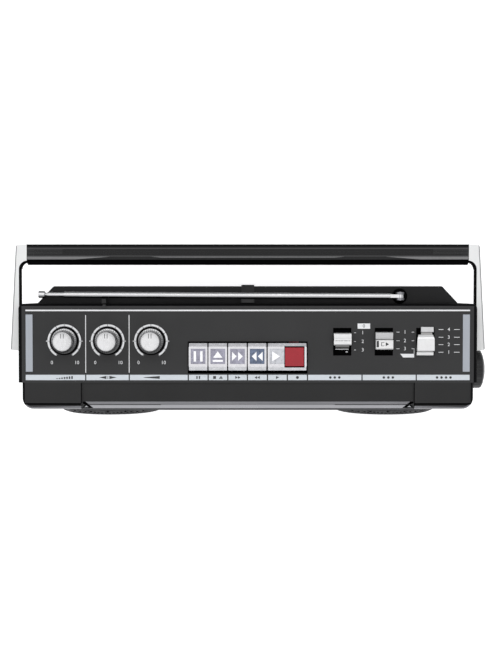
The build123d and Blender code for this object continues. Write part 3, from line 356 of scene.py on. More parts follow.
# Painted shade on the front cabinet: the dial bay's side walls take near-black, the silver front's upper rounding a
# darker silver, and the side roundings a darker black; the groove along the pods is a real dark joint.
paint("front_cabinet", [
    ("slot_black", lambda x, y, z, n: abs(x) > 133 and z > 178.1 and -58.56 < y < -57.04 and (z < 179.7 or n.z < 0.9)),
    ("slot_black", lambda x, y, z, n: y < -58.4 and abs(n.x) > 0.9 and 130 < abs(x) < 135),
    ("pod_charcoal", lambda x, y, z, n: -59.9 < y < -58.4 and n.z > 0.85),
    ("silver_round_shade", lambda x, y, z, n: y < -58.4 and n.z > 0.12),
    ("silver_face", lambda x, y, z, n: y < -58.4),
    ("edge_black", lambda x, y, z, n: abs(x) > 178.9 and n.z > 0.04),
    ("cabinet_black", lambda x, y, z, n: z < 178.0),
])
paint("dial_bezel", [
    ("gloss_black", lambda x, y, z, n: abs(x) > 124.7 and abs(n.x) > 0.2),
    ("trim_dark", lambda x, y, z, n: y < -61.0 and n.z > 0.3 and n.y < -0.3),
    ("trim_grey", lambda x, y, z, n: y > -58.45 and z > 174.0),
])
# The grip's steep front faces and ends take near-black and its rear bevel a darker black: painted shade, darker than
# its top.
paint("handle_frame", [
    ("slot_black", lambda x, y, z, n: y < 58.3 or abs(x) > 179.0),
    ("edge_black", lambda x, y, z, n: y > 68.7),
])
# The swivel's shaft, down in its bore, is painted near-black: painted shade.
paint("antenna_swivel", [("slot_black", lambda x, y, z, n: z < 172.6)])
# The lever's faces down in the slot and low at the rear take near-black: painted shade.
paint("function_lever", [
    ("slot_black", lambda x, y, z, n: z < 179.4),
    ("slot_black", lambda x, y, z, n: z < 182.7 and y > -5.6),
    ("lever_grey", lambda x, y, z, n: z < 182.7),
])
# The arms' faces that don't face up take a darker copy of the silver: painted shade.
for side in ("left", "right"):
    paint(f"handle_arm_{side}", [("arm_side_shade", lambda x, y, z, n: n.z < 0.9)])
FIELDS = {"pause_key": "key_field", "stop_key": "key_field", "forward_key": "key_field", "rewind_key": "key_field_blue", "play_key": "key_field_pale"}
# On each key the underside takes near-black as painted shade, and the brighter chrome on the rims in the field and on
# the front slope is painted highlight.
for key, field in FIELDS.items():
    paint(key, [
        ("slot_black", lambda x, y, z, n: z < 175.2 or n.z < -0.1),
        (field, lambda x, y, z, n: z < 183.15 and n.z > 0.95 and -25.5 < y < -13.2),
        ("key_bright", lambda x, y, z, n: -25.5 < y < -13.2 and 183.1 < z < 183.95 and n.z > 0.05),
        ("key_bright", lambda x, y, z, n: y < -27.6 and n.z > 0.1),
    ])

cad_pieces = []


def add(name, verts, faces, material, body, smooth=False, bevel=0.0):
    """Mesh piece from drawing millimetres."""
    me = bpy.data.meshes.new(name)
    me.from_pydata([D(*v) for v in verts], [], faces)
    me.validate()
    bm = bmesh.new()
    bm.from_mesh(me)
    bmesh.ops.recalc_face_normals(bm, faces=bm.faces)
    bm.to_mesh(me)
    bm.free()
    if smooth:
        me.shade_smooth()
    o = bpy.data.objects.new(name, me)
    scene.collection.objects.link(o)
    me.materials.append(MATS[material])
    if bevel:
        md = o.modifiers.new("soft_edges", "BEVEL")
        md.width = bevel / 1000
        md.segments = 2
        md.limit_method = "ANGLE"
        md.angle_limit = 0.6
    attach(o, body)
    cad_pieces.append(o)
    return o


class Prints:
    """Collects closed thin slabs of one colour into one mesh."""

    def __init__(self):
        self.v, self.f = [], []

    def prism(self, pts, z0, z1, plane="z"):
        n = len(pts)
        a = len(self.v)
        area2 = sum(pts[i][0] * pts[(i + 1) % n][1] - pts[(i + 1) % n][0] * pts[i][1] for i in range(n))
        if area2 < 0:
            pts = pts[::-1]
        put = {"z": lambda u, v, w: (u, v, w), "y": lambda u, v, w: (u, w, v), "x": lambda u, v, w: (w, u, v)}[plane]
        self.v += [put(u, v, z0) for u, v in pts] + [put(u, v, z1) for u, v in pts]
        self.f.append(list(range(a + n - 1, a - 1, -1)))
        self.f.append(list(range(a + n, a + 2 * n)))
        self.f += [[a + i, a + (i + 1) % n, a + n + (i + 1) % n, a + n + i] for i in range(n)]

    def rect(self, x0, x1, y0, y1, z0, z1, plane="z"):
        self.prism([(x0, y0), (x1, y0), (x1, y1), (x0, y1)], z0, z1, plane)

    def arc(self, cx, cy, r0, r1, a0, a1, z0, z1, n=48, plane="z"):
        """Ring sector in short closed wedges that share nothing, angles in degrees."""
        pts = []
        for k in range(n + 1):
            a = math.radians(a0 + (a1 - a0) * k / n)
            pts.append((cx + r1 * math.cos(a), cy + r1 * math.sin(a)))
        for k in range(n, -1, -1):
            a = math.radians(a0 + (a1 - a0) * k / n)
            pts.append((cx + r0 * math.cos(a), cy + r0 * math.sin(a)))
        a = len(self.v)
        m = n + 1
        put = {"z": lambda u, v, w: (u, v, w), "y": lambda u, v, w: (u, w, v), "x": lambda u, v, w: (w, u, v)}[plane]
        self.v += [put(u, v, z0) for u, v in pts] + [put(u, v, z1) for u, v in pts]
        t = 2 * m
        for k in range(n):
            i, j = k, k + 1
            p, q = t - 1 - k, t - 2 - k
            self.f.append([a + i, a + p, a + q, a + j])
            self.f.append([a + t + i, a + t + j, a + t + q, a + t + p])
            self.f.append([a + i, a + j, a + t + j, a + t + i])
            self.f.append([a + q, a + p, a + t + p, a + t + q])
        self.f.append([a, a + t, a + t + t - 1, a + t - 1])
        self.f.append([a + n, a + n + 1, a + t + n + 1, a + t + n])

    def done(self, name, material, body):
        return add(name, self.v, self.f, material, body)


def digits(name, items, material, body, z, size, plane="z", depth=0.06):
    """Plain numerals as raised print. items: (text, x, y)."""
    made = []
    for k, (text, x, y) in enumerate(items):
        cu = bpy.data.curves.new(f"{name}_{k}", "FONT")
        cu.body = text
        cu.size = size / 1000
        cu.extrude = depth / 2000
        cu.resolution_u = 3
        cu.align_x = "CENTER"
        cu.align_y = "CENTER"
        o = bpy.data.objects.new(f"{name}_{k}", cu)
        scene.collection.objects.link(o)
        if plane == "z":
            o.location = D(x, y, z + depth / 2)
        else:
            o.location = D(x, z - depth / 2, y)
            o.rotation_euler = (math.radians(90), 0, 0)
        made.append(o)
    bpy.context.view_layer.update()
    dg = bpy.context.evaluated_depsgraph_get()
    bm = bmesh.new()
    for o in made:
        me = bpy.data.meshes.new_from_object(o.evaluated_get(dg))
        me.transform(o.matrix_world)
        bm.from_mesh(me)
        bpy.data.meshes.remove(me)
    me = bpy.data.meshes.new(name)
    bm.to_mesh(me)
    bm.free()
    for o in made:
        cu = o.data
        bpy.data.objects.remove(o)
        bpy.data.curves.remove(cu)
    o = bpy.data.objects.new(name, me)
    scene.collection.objects.link(o)
    me.materials.append(MATS[material])
    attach(o, body)
    return o


# ------------------------------------------------------------------ prints on the panel
ZP0, ZP1 = Z_TOP - 0.02, Z_TOP + 0.06
KNOB_X = (-146.9, -112.2, -77.5)
KNOB_Y = -7.3
white, grey, blue, pale, dark = Prints(), Prints(), Prints(), Prints(), Prints()
white.rect(-177.9, 177.8, 16.68, 17.86, ZP0, ZP1)
blue.rect(-177.8, -172.3, -31.8, 14.0, ZP0, ZP1)
blue.rect(172.2, 177.7, -31.8, 14.0, ZP0, ZP1)
for x in (-129.8, -95.0):
    white.rect(x - 0.3, x + 0.3, -32.6, 13.6, ZP0, ZP1)
# label bar in cells
cuts = [85.5, 129.1, 188.2, 208.1, 227.8, 247.4, 267.5, 287.4, 307.6, 362.2, 416.5]
edges = [-177.9] + [(c - 247.8) * 0.8 for c in cuts] + [177.7]
for i in range(len(edges) - 1):
    x0 = edges[i] + (0.0 if i == 0 else 0.5)
    x1 = edges[i + 1] - (0.0 if i == len(edges) - 2 else 0.5)
    pale.rect(x0, x1, -38.6, -34.3, ZP0, ZP1)
for kx in KNOB_X:
    white.arc(kx, KNOB_Y, 11.95, 13.5, -61.5, 241.5, ZP0, ZP1, 72)
    for k in range(-5, 6):
        a = math.radians(90 + 30 * k)
        c, s = math.cos(a), math.sin(a)
        r0, r1, w = (13.3, 14.6, 0.3) if k in (-3, 3) else (11.9, 13.6, 0.22)
        if k in (-3, 3):
            white.prism([(kx + r0 * c - w * s, KNOB_Y + r0 * s + w * c), (kx + r1 * c - w * s, KNOB_Y + r1 * s + w * c),
                         (kx + r1 * c + w * s, KNOB_Y + r1 * s - w * c), (kx + r0 * c + w * s, KNOB_Y + r0 * s - w * c)], ZP0, ZP1)
        dark.prism([(kx + 11.9 * c - 0.18 * s, KNOB_Y + 11.9 * s + 0.18 * c), (kx + 13.55 * c - 0.18 * s, KNOB_Y + 13.55 * s + 0.18 * c),
                    (kx + 13.55 * c + 0.18 * s, KNOB_Y + 13.55 * s - 0.18 * c), (kx + 11.9 * c + 0.18 * s, KNOB_Y + 11.9 * s - 0.18 * c)], ZP0, ZP1 + 0.03)
# lever position rows
for x, y in ((85.8, -0.6), (85.8, -7.6), (85.8, -14.4)):
    white.rect(x - 0.65, x + 0.65, y - 0.18, y + 0.18, ZP0, ZP1)
white.rect(87.9, 97.9, 2.6, 6.8, ZP0, ZP1)
for y in (-0.1, -7.0, -13.4):
    white.rect(119.0, 121.5, y - 0.18, y + 0.18, ZP0, ZP1)
    if y > -10:
        white.rect(131.2, 133.2, y - 0.18, y + 0.18, ZP0, ZP1)
white.rect(131.2, 133.3, -13.6, -13.2, ZP0, ZP1)
white.rect(132.95, 133.3, -17.4, -13.4, ZP0, ZP1)
white.prism([(124.4, -20.4), (133.2, -20.4), (133.2, -17.5), (122.0, -17.5)], ZP0, ZP1)
for y in (2.0, -4.2, -10.1, -16.2):
    white.rect(152.7, 156.6, y - 0.2, y + 0.2, ZP0, ZP1)
    white.rect(165.1, 169.6, y - 0.2, y + 0.2, ZP0, ZP1)
joint = Prints()
for s_ in (-1, 1):
    joint.rect(*sorted((s_ * 133.15, s_ * 133.75)), -57.0, -40.7, ZP0, ZP0 + 0.04)
joint.done("pod_joint_lines", "slot_black", "cabinet")
white.done("panel_print_white", "print_white", "cabinet")
blue.done("panel_print_blue", "print_blue", "cabinet")
pale.done("panel_label_bar", "print_pale", "cabinet")

rows = [("1", 92.0, -0.6), ("2", 92.0, -7.6), ("3", 92.0, -14.4),
        ("1", 125.8, -0.1), ("2", 125.8, -7.0), ("3", 125.8, -13.4),
        ("4", 160.9, 2.0), ("3", 160.9, -4.2), ("2", 160.9, -10.1), ("1", 160.9, -16.2)]
for kx in KNOB_X:
    rows += [("0", kx - 10.0, -24.6), ("10", kx + 10.0, -24.6)]
digits("panel_numerals", rows, "print_white", "cabinet", ZP0, 3.9)
digits("panel_numerals_dark", [("0", 92.9, 4.7)], "print_dark", "cabinet", ZP1 - 0.02, 3.9)

# symbols in the label bar, plain strokes
yb = -36.45


def cell(i):
    return (edges[i] + edges[i + 1]) / 2


xv = -146.8
for k in range(7):                                   # rising bars
    dark.rect(xv - 6.6 + k * 2.0, xv - 5.4 + k * 2.0, yb - 1.2, yb - 0.6 + 0.3 * k, ZP1 - 0.02, ZP1 + 0.04)
xv = -112.1                                          # two wedges
dark.prism([(xv - 7, yb), (xv - 1.2, yb + 1.25), (xv - 1.2, yb - 1.25)], ZP1 - 0.02, ZP1 + 0.04)
dark.prism([(xv + 7, yb), (xv + 1.2, yb + 1.25), (xv + 1.2, yb - 1.25)], ZP1 - 0.02, ZP1 + 0.04)
dark.rect(xv - 0.25, xv + 0.25, yb - 1.1, yb + 1.1, ZP1 - 0.02, ZP1 + 0.04)
xv = -77.0                                           # tone: a line that swells
dark.prism([(xv - 6.5, yb - 0.15), (xv + 6.5, yb - 1.1), (xv + 6.5, yb + 1.1), (xv - 6.5, yb + 0.15)], ZP1 - 0.02, ZP1 + 0.04)


def sym(kind, x):
    z0, z1 = ZP1 - 0.02, ZP1 + 0.04
    h = 1.15
    if kind == "pause":
        dark.rect(x - 1.5, x - 0.5, yb - h, yb + h, z0, z1)
        dark.rect(x + 0.5, x + 1.5, yb - h, yb + h, z0, z1)
    elif kind == "stop":
        dark.rect(x - 3.9, x - 1.6, yb - h, yb + h, z0, z1)
        dark.prism([(x + 1.0, yb - 0.3), (x + 3.8, yb - 0.3), (x + 2.4, yb + h)], z0, z1)
        dark.rect(x + 1.0, x + 3.8, yb - h, yb - h + 0.5, z0, z1)
    elif kind == "ff":
        for d in (-1.9, 0.3):
            dark.prism([(x + d, yb - h), (x + d + 2.0, yb), (x + d, yb + h)], z0, z1)
    elif kind == "rew":
        for d in (1.9, -0.3):
            dark.prism([(x + d, yb - h), (x + d - 2.0, yb), (x + d, yb + h)], z0, z1)
    elif kind == "play":
        dark.prism([(x - 1.1, yb - h), (x + 1.3, yb), (x - 1.1, yb + h)], z0, z1)
    elif kind == "rec":
        dark.prism([(x + 1.15 * math.cos(t * math.pi / 12), yb + 1.15 * math.sin(t * math.pi / 12)) for t in range(24)], z0, z1)


for i, kind in enumerate(("pause", "stop", "ff", "rew", "play", "rec")):
    sym(kind, cell(3 + i))
for i, n in ((9, 3), (10, 3), (11, 4)):              # position dots over each lever
    xm = {9: 69.7, 10: 112.6, 11: 157.0}[i]
    for k in range(n):
        dark.prism([(xm + (k - (n - 1) / 2) * 3.6 + 1.0 * math.cos(t * math.pi / 8), yb + 1.0 * math.sin(t * math.pi / 8)) for t in range(16)], ZP1 - 0.02, ZP1 + 0.04)
dark.done("panel_print_dark", "print_dark", "cabinet")


# ------------------------------------------------------------------ knobs
def lathe(name, rings, cx, cy, material, body, n=96, flutes=0, depth=0.0, smooth=True):
    """Turned piece about a vertical axis. rings: (radius, z, fluted), from the bottom up."""
    v, f = [], []
    for r, z, fl in rings:
        for k in range(n):
            a = 2 * math.pi * k / n
            rr = r
            if fl and flutes:
                rr = r - depth * (0.5 - 0.5 * math.cos(a * flutes)) ** 0.7
            v.append((cx + rr * math.cos(a), cy + rr * math.sin(a), z))
    m = len(rings)
    for i in range(m - 1):
        for k in range(n):
            p, q = i * n + k, i * n + (k + 1) % n
            f.append([p, q, q + n, p + n])
    f.append(list(range(n - 1, -1, -1)))
    f.append([(m - 1) * n + k for k in range(n)])
    o = add(name, v, f, material, body, smooth=smooth)
    if smooth:
        o.data.set_sharp_from_angle(angle=math.radians(28))
    return o


mat("knob_top", (0.64, 0.64, 0.645), 0.28, 1.0, grain=0.10, grain_scale=260, stretch=(16, 1, 1), bump=0.35, bump_scale=260, rough_var=0.06, var_scale=140)

for kx, body in zip(KNOB_X, ("volume", "balance", "tone")):
    o = lathe(f"{body}_knob_skirt", [(9.95, 181.02, 0), (10.2, 181.3, 0), (10.2, 182.3, 0), (9.95, 182.7, 0), (9.45, 182.95, 0), (9.3, 183.15, 1), (9.1, 183.9, 1),
              (8.55, 192.0, 1), (8.3, 192.9, 1), (7.75, 193.45, 0)], kx, KNOB_Y, "knob_skirt", body, n=36 * 8, flutes=36, depth=0.95)
    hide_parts(body + "_knob")
    o = lathe(f"{body}_knob_cap", [(7.0, 193.3, 0), (7.35, 193.46, 0), (7.35, 193.7, 0), (7.2, 193.86, 0), (6.95, 193.88, 0), (6.8, 193.72, 0), (6.6, 193.66, 0), (3.0, 193.62, 0), (0.6, 193.61, 0)],
              kx, KNOB_Y, "knob_top", body, n=96)
    p = Prints()
    for dx in (-1.0, 1.0):
        p.rect(kx + dx - 0.22, kx + dx + 0.22, KNOB_Y + 2.6, KNOB_Y + 6.3, 193.6, 193.76)
    p.done(f"{body}_knob_marks", "print_dark", body)

# ------------------------------------------------------------------ tuning knob's end plate
v, f = [], []
for k, (r, x) in enumerate(((12.4, 193.05), (12.4, 193.22), (8.2, 194.36), (5.0, 194.82), (4.6, 194.86), (0.4, 195.39))):
    for j in range(72):
        a = 2 * math.pi * j / 72
        v.append((x, -31.6 + r * math.cos(a), 145 + r * math.sin(a)))
for i in range(5):
    for j in range(72):
        p, q = i * 72 + j, i * 72 + (j + 1) % 72
        f.append([p, q, q + 72, p + 72])
f.append(list(range(72)))
f.append([5 * 72 + j for j in range(71, -1, -1)])
o = add("tuning_knob_plate", v, f, "dial_knob_black", "tuning", smooth=True)
o.data.set_sharp_from_angle(angle=math.radians(25))

# ------------------------------------------------------------------ speaker grilles
from mathutils.geometry import delaunay_2d_cdt


def grille(name, xc, zc, node):
    """Pressed steel dome, 1 mm sheet, punched with staggered round holes."""
    r_out, r_hole, pitch, seg = 48.85, 1.12, 3.25, 10
    co, ed, holes = [], [], []

    def loop(cx, cz, r, n, turn=0.0):
        a0 = len(co)
        for k in range(n):
            a = 2 * math.pi * (k + turn) / n
            co.append(Vector((cx + r * math.cos(a), cz + r * math.sin(a))))
        ed.extend([(a0 + k, a0 + (k + 1) % n) for k in range(n)])

    loop(0, 0, r_out, 144)
    loop(0, 0, 46.9, 144, 0.5)
    rows_n = int(46 / (pitch * 0.866)) + 1
    for j in range(-rows_n, rows_n + 1):
        for i in range(-20, 21):
            x = (i + 0.5 * (j % 2)) * pitch
            z = j * pitch * 0.8660254
            if math.hypot(x, z) < 45.1:
                loop(x, z, r_hole, seg, 0.5 * (j % 2))
                holes.append((x, z))
    # extra points keep the sheet's curve smooth
    vo, eo, fo, _, _, _ = delaunay_2d_cdt(co, ed, [], 1, 1e-4)
    cell = {}
    for hx, hz in holes:
        cell.setdefault((round(hx / 4), round(hz / 4)), []).append((hx, hz))
    keep = []
    for t in fo:
        mx = sum(vo[k][0] for k in t) / len(t)
        mz = sum(vo[k][1] for k in t) / len(t)
        a, b = round(mx / 4), round(mz / 4)
        near = [h for da in (-1, 0, 1) for db in (-1, 0, 1) for h in cell.get((a + da, b + db), ())]
        if min((math.hypot(mx - h[0], mz - h[1]) for h in near), default=9) > r_hole * 0.93:
            keep.append(list(t))
    used = sorted({k for t in keep for k in t})
    idx = {k: n for n, k in enumerate(used)}

    def y_at(r):
        return -74.15 + 7.75 * (r / 48.9) ** 8

    verts = []
    for k in used:
        x, z = vo[k][0], vo[k][1]
        verts.append((xc + x, y_at(math.hypot(x, z)), zc + z))
    o = add(name, verts, [[idx[k] for k in t] for t in keep], "grille_metal", "cabinet", smooth=True)
    # all normals forward, then thickness to the rear
    me = o.data
    flip = [p.index for p in me.polygons if p.normal.y > 0]
    if flip:
        bm = bmesh.new()
        bm.from_mesh(me)
        bm.faces.ensure_lookup_table()
        bmesh.ops.reverse_faces(bm, faces=[bm.faces[k] for k in flip])
        bm.to_mesh(me)
        bm.free()
    md = o.modifiers.new("sheet", "SOLIDIFY")
    md.thickness = 0.0009
    md.offset = -1.0
    md.use_even_offset = False
    # rolled skirt that stands on the baffle
    v, f = [], []
    prof = [(48.85, -66.35), (48.9, -66.0), (48.9, -65.12), (47.9, -65.12), (47.9, -65.7), (48.1, -65.9)]
    for r, y in prof:
        for j in range(144):
            a = 2 * math.pi * j / 144
            v.append((xc + r * math.cos(a), y, zc + r * math.sin(a)))
    m = len(prof)
    for i in range(m):
        for j in range(144):
            p, q = i * 144 + j, i * 144 + (j + 1) % 144
            s2 = ((i + 1) % m) * 144
            f.append([p, q, s2 + (j + 1) % 144, s2 + j])
    k = add(name + "_skirt", v, f, "grille_metal", "cabinet", smooth=True)
    k.data.set_sharp_from_angle(angle=math.radians(35))
    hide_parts(node)
    return o


for s, side in ((-1, "left"), (1, "right")):
    grille(f"grille_dome_{side}", s * 119.5, 64.0, f"speaker_grille_{side}")
# On each speaker ring the upward-facing faces take a dark finish, painted shade under the overhang, and the rest of the
# ring stays chrome.
paint("speaker_baffle_left", [("trim_dark", lambda x, y, z, n: n.z > 0.5 and y < -65.05 and 49.3 < math.hypot(x + 119.5, z - 64) < 53.3),
    ("grille_rim", lambda x, y, z, n: y < -64.9 and 49.3 < math.hypot(x + 119.5, z - 64) < 53.3 and y < -65.05)])
paint("speaker_baffle_right", [("trim_dark", lambda x, y, z, n: n.z > 0.5 and y < -65.05 and 49.3 < math.hypot(x - 119.5, z - 64) < 53.3),
    ("grille_rim", lambda x, y, z, n: y < -64.9 and 49.3 < math.hypot(x - 119.5, z - 64) < 53.3 and y < -65.05)])

# screws at the corners of the speaker baffles
def screw_front(name, x, z, y, r, body, material="chrome"):
    v, f = [], []
    rings = [(r, y + 0.1), (r, y - 0.25), (r * 0.86, y - 0.5), (r * 0.5, y - 0.62), (0.05, y - 0.66)]
    n = 32
    for rr, yy in rings:
        for j in range(n):
            a = 2 * math.pi * j / n
            v.append((x + rr * math.cos(a), yy, z + rr * math.sin(a)))
    for i in range(len(rings) - 1):
        for j in range(n):
            p, q = i * n + j, i * n + (j + 1) % n
            f.append([p, q, q + n, p + n])
    f.append(list(range(n)))
    f.append([(len(rings) - 1) * n + j for j in range(n - 1, -1, -1)])
    o = add(name, v, f, material, body, smooth=True)
    o.data.set_sharp_from_angle(angle=math.radians(40))
    # The cross recess is drawn as a dark raised cross, not cut: painted shade.
    p = Prints()
    w, l = r * 0.14, r * 0.62
    p.rect(x - l, x + l, z - w, z + w, y - 0.74, y - 0.5, "y")
    p.rect(x - w, x + w, z - l, z + l, y - 0.74, y - 0.5, "y")
    p.done(name + "_cross", "print_dark", body)
    return o


for s, side in ((-1, "left"), (1, "right")):
    for i, (dx, dz) in enumerate(((-50.5, -48.5), (50.5, -48.5), (-50.5, 50.5), (50.5, 50.5))):
        screw_front(f"baffle_screw_{side}_{i}", s * 119.5 + dx, 64 + dz, -65.0, 2.4, "cabinet")

# ------------------------------------------------------------------ dial
wd, rd = Prints(), Prints()
Y0, Y1 = -51.68, -51.58
X0D, X1D = -99.5, 99.5
for row, (z, n) in enumerate(((160.5, 40), (152.5, 50), (144.5, 34), )):
    wd.rect(X0D, X1D, z - 0.2, z + 0.2, Y0, Y1, "y")
    for k in range(n + 1):
        x = X0D + (X1D - X0D) * (k / n) ** (1.0 if row != 1 else 0.88)
        big = k % 5 == 0
        wd.rect(x - (0.3 if big else 0.15), x + (0.3 if big else 0.15), z, z + (2.2 if big else 1.2), Y0, Y1, "y")
rd.rect(X0D, X1D, 139.6, 140.2, Y0, Y1, "y")
wd.done("dial_lines", "print_white", "cabinet")
rd.done("dial_red_line", "print_red", "cabinet")
nums = []
for z, seq in ((164.3, ("88", "90", "92", "94", "96", "98", "100", "104", "108")), (156.3, ("54", "60", "70", "80", "100", "120", "140", "160")),
               (148.3, ("4", "5", "6", "7", "9", "11", "13", "16", "18"))):
    for k, t in enumerate(seq):
        nums.append((t, X0D + (X1D - X0D) * k / (len(seq) - 1), z))
digits("dial_numerals", nums, "print_white", "cabinet", -51.58, 3.0, plane="y", depth=0.08)

# ------------------------------------------------------------------ bezel lines, front trims
bl = Prints()
bl.rect(-118.6, 118.6, 167.2, 167.9, -63.06, -62.96, "y")
bl.rect(-118.6, 118.6, 136.6, 137.3, -63.06, -62.96, "y")
bl.rect(-118.6, -117.9, 137.3, 167.2, -63.06, -62.96, "y")
bl.rect(117.9, 118.6, 137.3, 167.2, -63.06, -62.96, "y")
bl.done("bezel_front_line", "print_dark", "cabinet")
dl = Prints()
dl.rect(-48.0, 48.0, 98.0, 98.5, -64.08, -63.96, "y")
dl.rect(-48.0, 48.0, 33.5, 34.0, -64.08, -63.96, "y")
dl.rect(-48.5, -48.0, 33.5, 98.5, -64.08, -63.96, "y")
dl.rect(48.0, 48.5, 33.5, 98.5, -64.08, -63.96, "y")
dl.done("door_front_line", "print_dark", "door")
wl = Prints()
for k in range(11):
    x = -20 + 4 * k
    wl.rect(x - 0.2, x + 0.2, 45.0, 47.4 if k % 5 else 49.0, -63.68, -63.56, "y")
wl.rect(-20.2, 20.2, 44.6, 45.0, -63.68, -63.56, "y")
wl.done("door_window_scale", "print_white", "door")

# ------------------------------------------------------------------ levers' caps
def lever_part(name, body, prisms, material, x0, x1, bevel=0.25):
    q = Prints()
    for pts in prisms:
        q.prism(pts, x0, x1, "x")
    o = add(name, q.v, q.f, material, body, bevel=bevel)
    return o


q = Prints()
for dx, w in ((-5.0, 1.5), (-2.8, 1.0), (-0.8, 2.0), (2.4, 2.6), (5.2, 1.0)):
    q.rect(75.6 + dx - w / 2, 75.6 + dx + w / 2, -7.05, -6.55, 186.3, 186.48)
q.done("function_lever_marks", "print_grey", "function_switch")
q = Prints()
q.rect(70.3, 80.9, -14.15, -13.55, 176.9, 177.35)
q.rect(78.6, 80.2, -16.5, -15.6, 176.9, 177.2)
q.done("function_lever_line", "print_white", "function_switch")

o = lever_part("mode_lever_plate", "mode_switch", [[(9.3, 175.7), (-23.7, 175.7), (-23.7, 177.0), (9.3, 177.0)]], "slot_black", 100.3, 117.5)
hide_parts("mode_lever")
o = lever_part("mode_lever_stem", "mode_switch", [[(-5.2, 163.5), (-9.2, 163.5), (-9.2, 176.2), (-5.2, 176.2)], [(-2.0, 176.9), (-12.4, 176.9), (-12.4, 180.6), (-2.0, 180.6)]], "slot_black", 107.3, 110.5)
o = lever_part("mode_lever_rear", "mode_switch", [[(0.0, 180.4), (0.0, 184.0), (-0.7, 185.6), (-5.4, 184.6), (-5.9, 184.0), (-5.9, 180.4)]], "lever_pale", 101.95, 115.85)
o = lever_part("mode_lever_front", "mode_switch", [[(-6.1, 180.4), (-6.1, 186.4), (-6.7, 187.0), (-13.0, 187.0), (-13.9, 185.6), (-13.9, 180.4)]], "lever_chrome", 101.95, 115.85)
q = Prints()
q.rect(102.5, 104.3, -12.0, -6.9, 186.9, 187.08)
q.rect(106.2, 106.7, -11.0, -8.0, 186.9, 187.08)
q.rect(106.2, 108.6, -8.4, -8.0, 186.9, 187.08)
q.rect(106.2, 108.6, -11.0, -10.6, 186.9, 187.08)
q.prism([(109.8, -11.0), (112.4, -9.5), (109.8, -8.0)], 186.9, 187.08)
q.done("mode_lever_marks", "print_dark", "mode_switch")

o = lever_part("band_lever_plate", "band_switch", [[(7.9, 175.7), (-25.1, 175.7), (-25.1, 177.0), (7.9, 177.0)]], "slot_black", 133.5, 150.7)
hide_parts("band_lever")
o = lever_part("band_lever_stem", "band_switch", [[(-6.6, 163.5), (-10.6, 163.5), (-10.6, 176.2), (-6.6, 176.2)], [(-3.6, 176.9), (-13.6, 176.9), (-13.6, 180.6), (-3.6, 180.6)]], "slot_black", 140.5, 143.7)
o = lever_part("band_lever_tab", "band_switch", [[(4.1, 180.25), (4.1, 181.4), (3.7, 181.8), (0.2, 182.4), (0.0, 182.2), (0.0, 180.25)]], "lever_pale", 138.4, 148.5)
o = lever_part("band_lever_neck", "band_switch", [[(0.1, 180.25), (0.1, 180.9), (-3.0, 181.6), (-3.0, 180.25)]], "lever_grey", 138.6, 147.4, 0.1)
v = []
for x0, x1, y, z in ((136.2, 147.6, -1.9, 181.0), (136.2, 147.6, -2.1, 184.4), (135.2, 148.4, -4.0, 186.6), (134.9, 148.8, -5.2, 187.0),
                     (134.9, 148.8, -14.6, 187.0), (134.9, 148.6, -15.2, 186.2), (134.9, 148.6, -15.2, 181.0)):
    v += [(x0, y, z), (x1, y, z)]
f = [[0, 2, 4, 6, 8, 10, 12], [1, 13, 11, 9, 7, 5, 3]] + [[2 * k, 2 * k + 1, 2 * k + 3, 2 * k + 2] for k in range(6)] + [[12, 13, 1, 0]]
o = add("band_lever_cap", v, f, "lever_chrome", "band_switch", bevel=0.25)
o = lever_part("band_lever_front", "band_switch", [[(-15.9, 180.5), (-15.9, 184.2), (-18.2, 184.0), (-18.7, 183.2), (-18.7, 180.5)]], "lever_chrome", 134.9, 148.2)
o = lever_part("band_lever_bridge", "band_switch", [[(-14.8, 180.6), (-14.8, 182.6), (-16.4, 182.6), (-16.4, 180.6)]], "lever_grey", 135.4, 147.8, 0.1)

# ------------------------------------------------------------------ handle: painted highlights along the ribs, ridges and shoulder
# pale lines along the grip's top: painted highlights on its two long ridges and, near the ends, on its ribs
q = Prints()
q.rect(-178.6, 178.6, 66.85, 67.65, 165.98, 166.05)
q.rect(-178.6, 178.6, 60.8, 61.45, 165.98, 166.05)
for k in range(4):
    q.rect(-178.6, -150.0, 62.75 + 1.2 * k, 63.0 + 1.2 * k, 165.98, 166.04)
    q.rect(150.0, 178.6, 62.75 + 1.2 * k, 63.0 + 1.2 * k, 165.98, 166.04)
q.done("grip_rib_highlights", "grip_highlight_grey", "handle")


def shoulder(q, x0, x1, x2, x3, w):
    """A painted highlight along the grip's sloping shoulder, w wide, running out at both ends."""
    def at(t, lift):                                     # t millimetres down the slope
        return 60.6 - t * 0.931, 166.0 - t * 0.364 + lift
    a = len(q.v)
    for x, ww in ((x0, 0.05), (x1, w), (x2, w), (x3, 0.05)):
        for t, lift in ((0.0, 0.05), (ww, 0.05), (ww, -0.1), (0.0, -0.1)):
            y, z = at(t, lift)
            q.v.append((x, y, z))
    for k in range(3):
        b = a + 4 * k
        for j in range(4):
            q.f.append([b + j, b + (j + 1) % 4, b + 4 + (j + 1) % 4, b + 4 + j])
    q.f.append([a, a + 3, a + 2, a + 1])
    q.f.append([a + 12, a + 13, a + 14, a + 15])


q = Prints()
shoulder(q, -178.75, -178.7, -140.0, -112.0, 2.4)
shoulder(q, 112.0, 140.0, 178.7, 178.75, 2.4)
shoulder(q, -78.0, -70.0, 70.0, 78.0, 0.75)
q.done("grip_shoulder_highlight", "grip_shine", "handle")

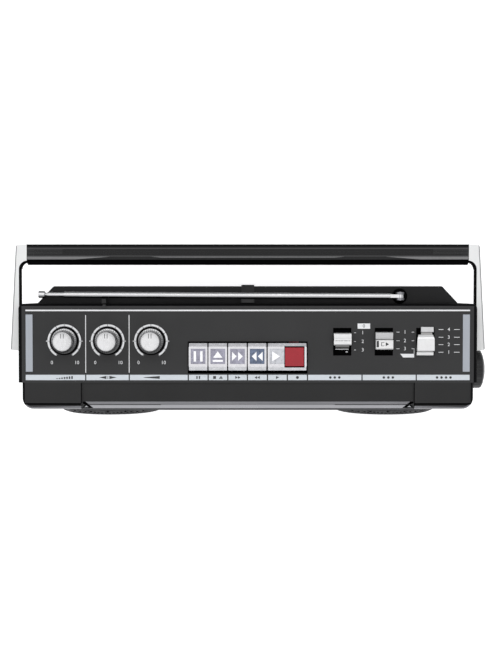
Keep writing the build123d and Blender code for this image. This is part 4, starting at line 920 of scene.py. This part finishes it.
# black ends of the dial bezel
q = Prints()
for s_ in (-1, 1):
    q.prism([(s_ * 133.15, -55.97), (s_ * 131.2, -55.97), (s_ * 127.93, -58.4), (s_ * 131.43, -58.4), (s_ * 133.15, -57.25)], 174.66, 174.76)
    q.prism([(s_ * 131.4, -58.42), (s_ * 127.93, -58.42), (s_ * 124.07, -61.3), (s_ * 127.1, -61.3)], 175.96, 176.06)
q.done("bezel_ends", "slot_black", "cabinet")

# floor of the well under the tape keys
q = Prints()
q.rect(-50.5, 50.5, -36.0, -2.0, 160.0, 160.8)
for k in range(7):
    q.rect(-47.5 + 15.7 * k - 0.5, -47.5 + 15.7 * k + 0.5, -35.0, -3.0, 160.7, 162.2)
q.done("key_well_floor", "slot_black", "cabinet")

# ring round the aerial's turret
o = lathe("turret_ring", [(4.65, 170.9, 0), (6.1, 170.9, 0), (6.1, 171.25, 0), (5.9, 171.4, 0), (4.65, 171.4, 0)], 122.4, 28.7, "slot_black", "cabinet", n=64)

# dark line between the bezel's two bands
q = Prints()
q.rect(-132.6, -70.0, -58.95, -58.4, 175.98, 176.04)
q.rect(70.0, 132.6, -58.95, -58.4, 175.98, 176.04)
q.done("bezel_band_line", "trim_dark", "cabinet")
q = Prints()
q.rect(-70.0, 70.0, -58.95, -58.4, 175.98, 176.04)
q.done("bezel_band_line_middle", "trim_grey", "cabinet")

# ------------------------------------------------------------------ floor
me = bpy.data.meshes.new("floor")
S = 6.0
me.from_pydata([(-S, -S, 0), (S, -S, 0), (S, S, 0), (-S, S, 0)], [], [(0, 1, 2, 3)])
floor = bpy.data.objects.new("floor", me)
scene.collection.objects.link(floor)
fm = mat("floor_pale", (0.90, 0.90, 0.90), 0.80, grain=0.004, grain_scale=30, var_scale=2)
for nd in fm.node_tree.nodes:
    if nd.type == "BSDF_PRINCIPLED":
        nd.inputs["Emission Color"].default_value = (1, 1, 1, 1)
        nd.inputs["Emission Strength"].default_value = 0.50
me.materials.append(MATS["floor_pale"])

# ------------------------------------------------------------------ smooth shading of the carried-over pieces
for n, o in NODES.items():
    me = o.data
    if not me.has_custom_normals:
        me.shade_smooth()
        me.set_sharp_from_angle(angle=math.radians(30))
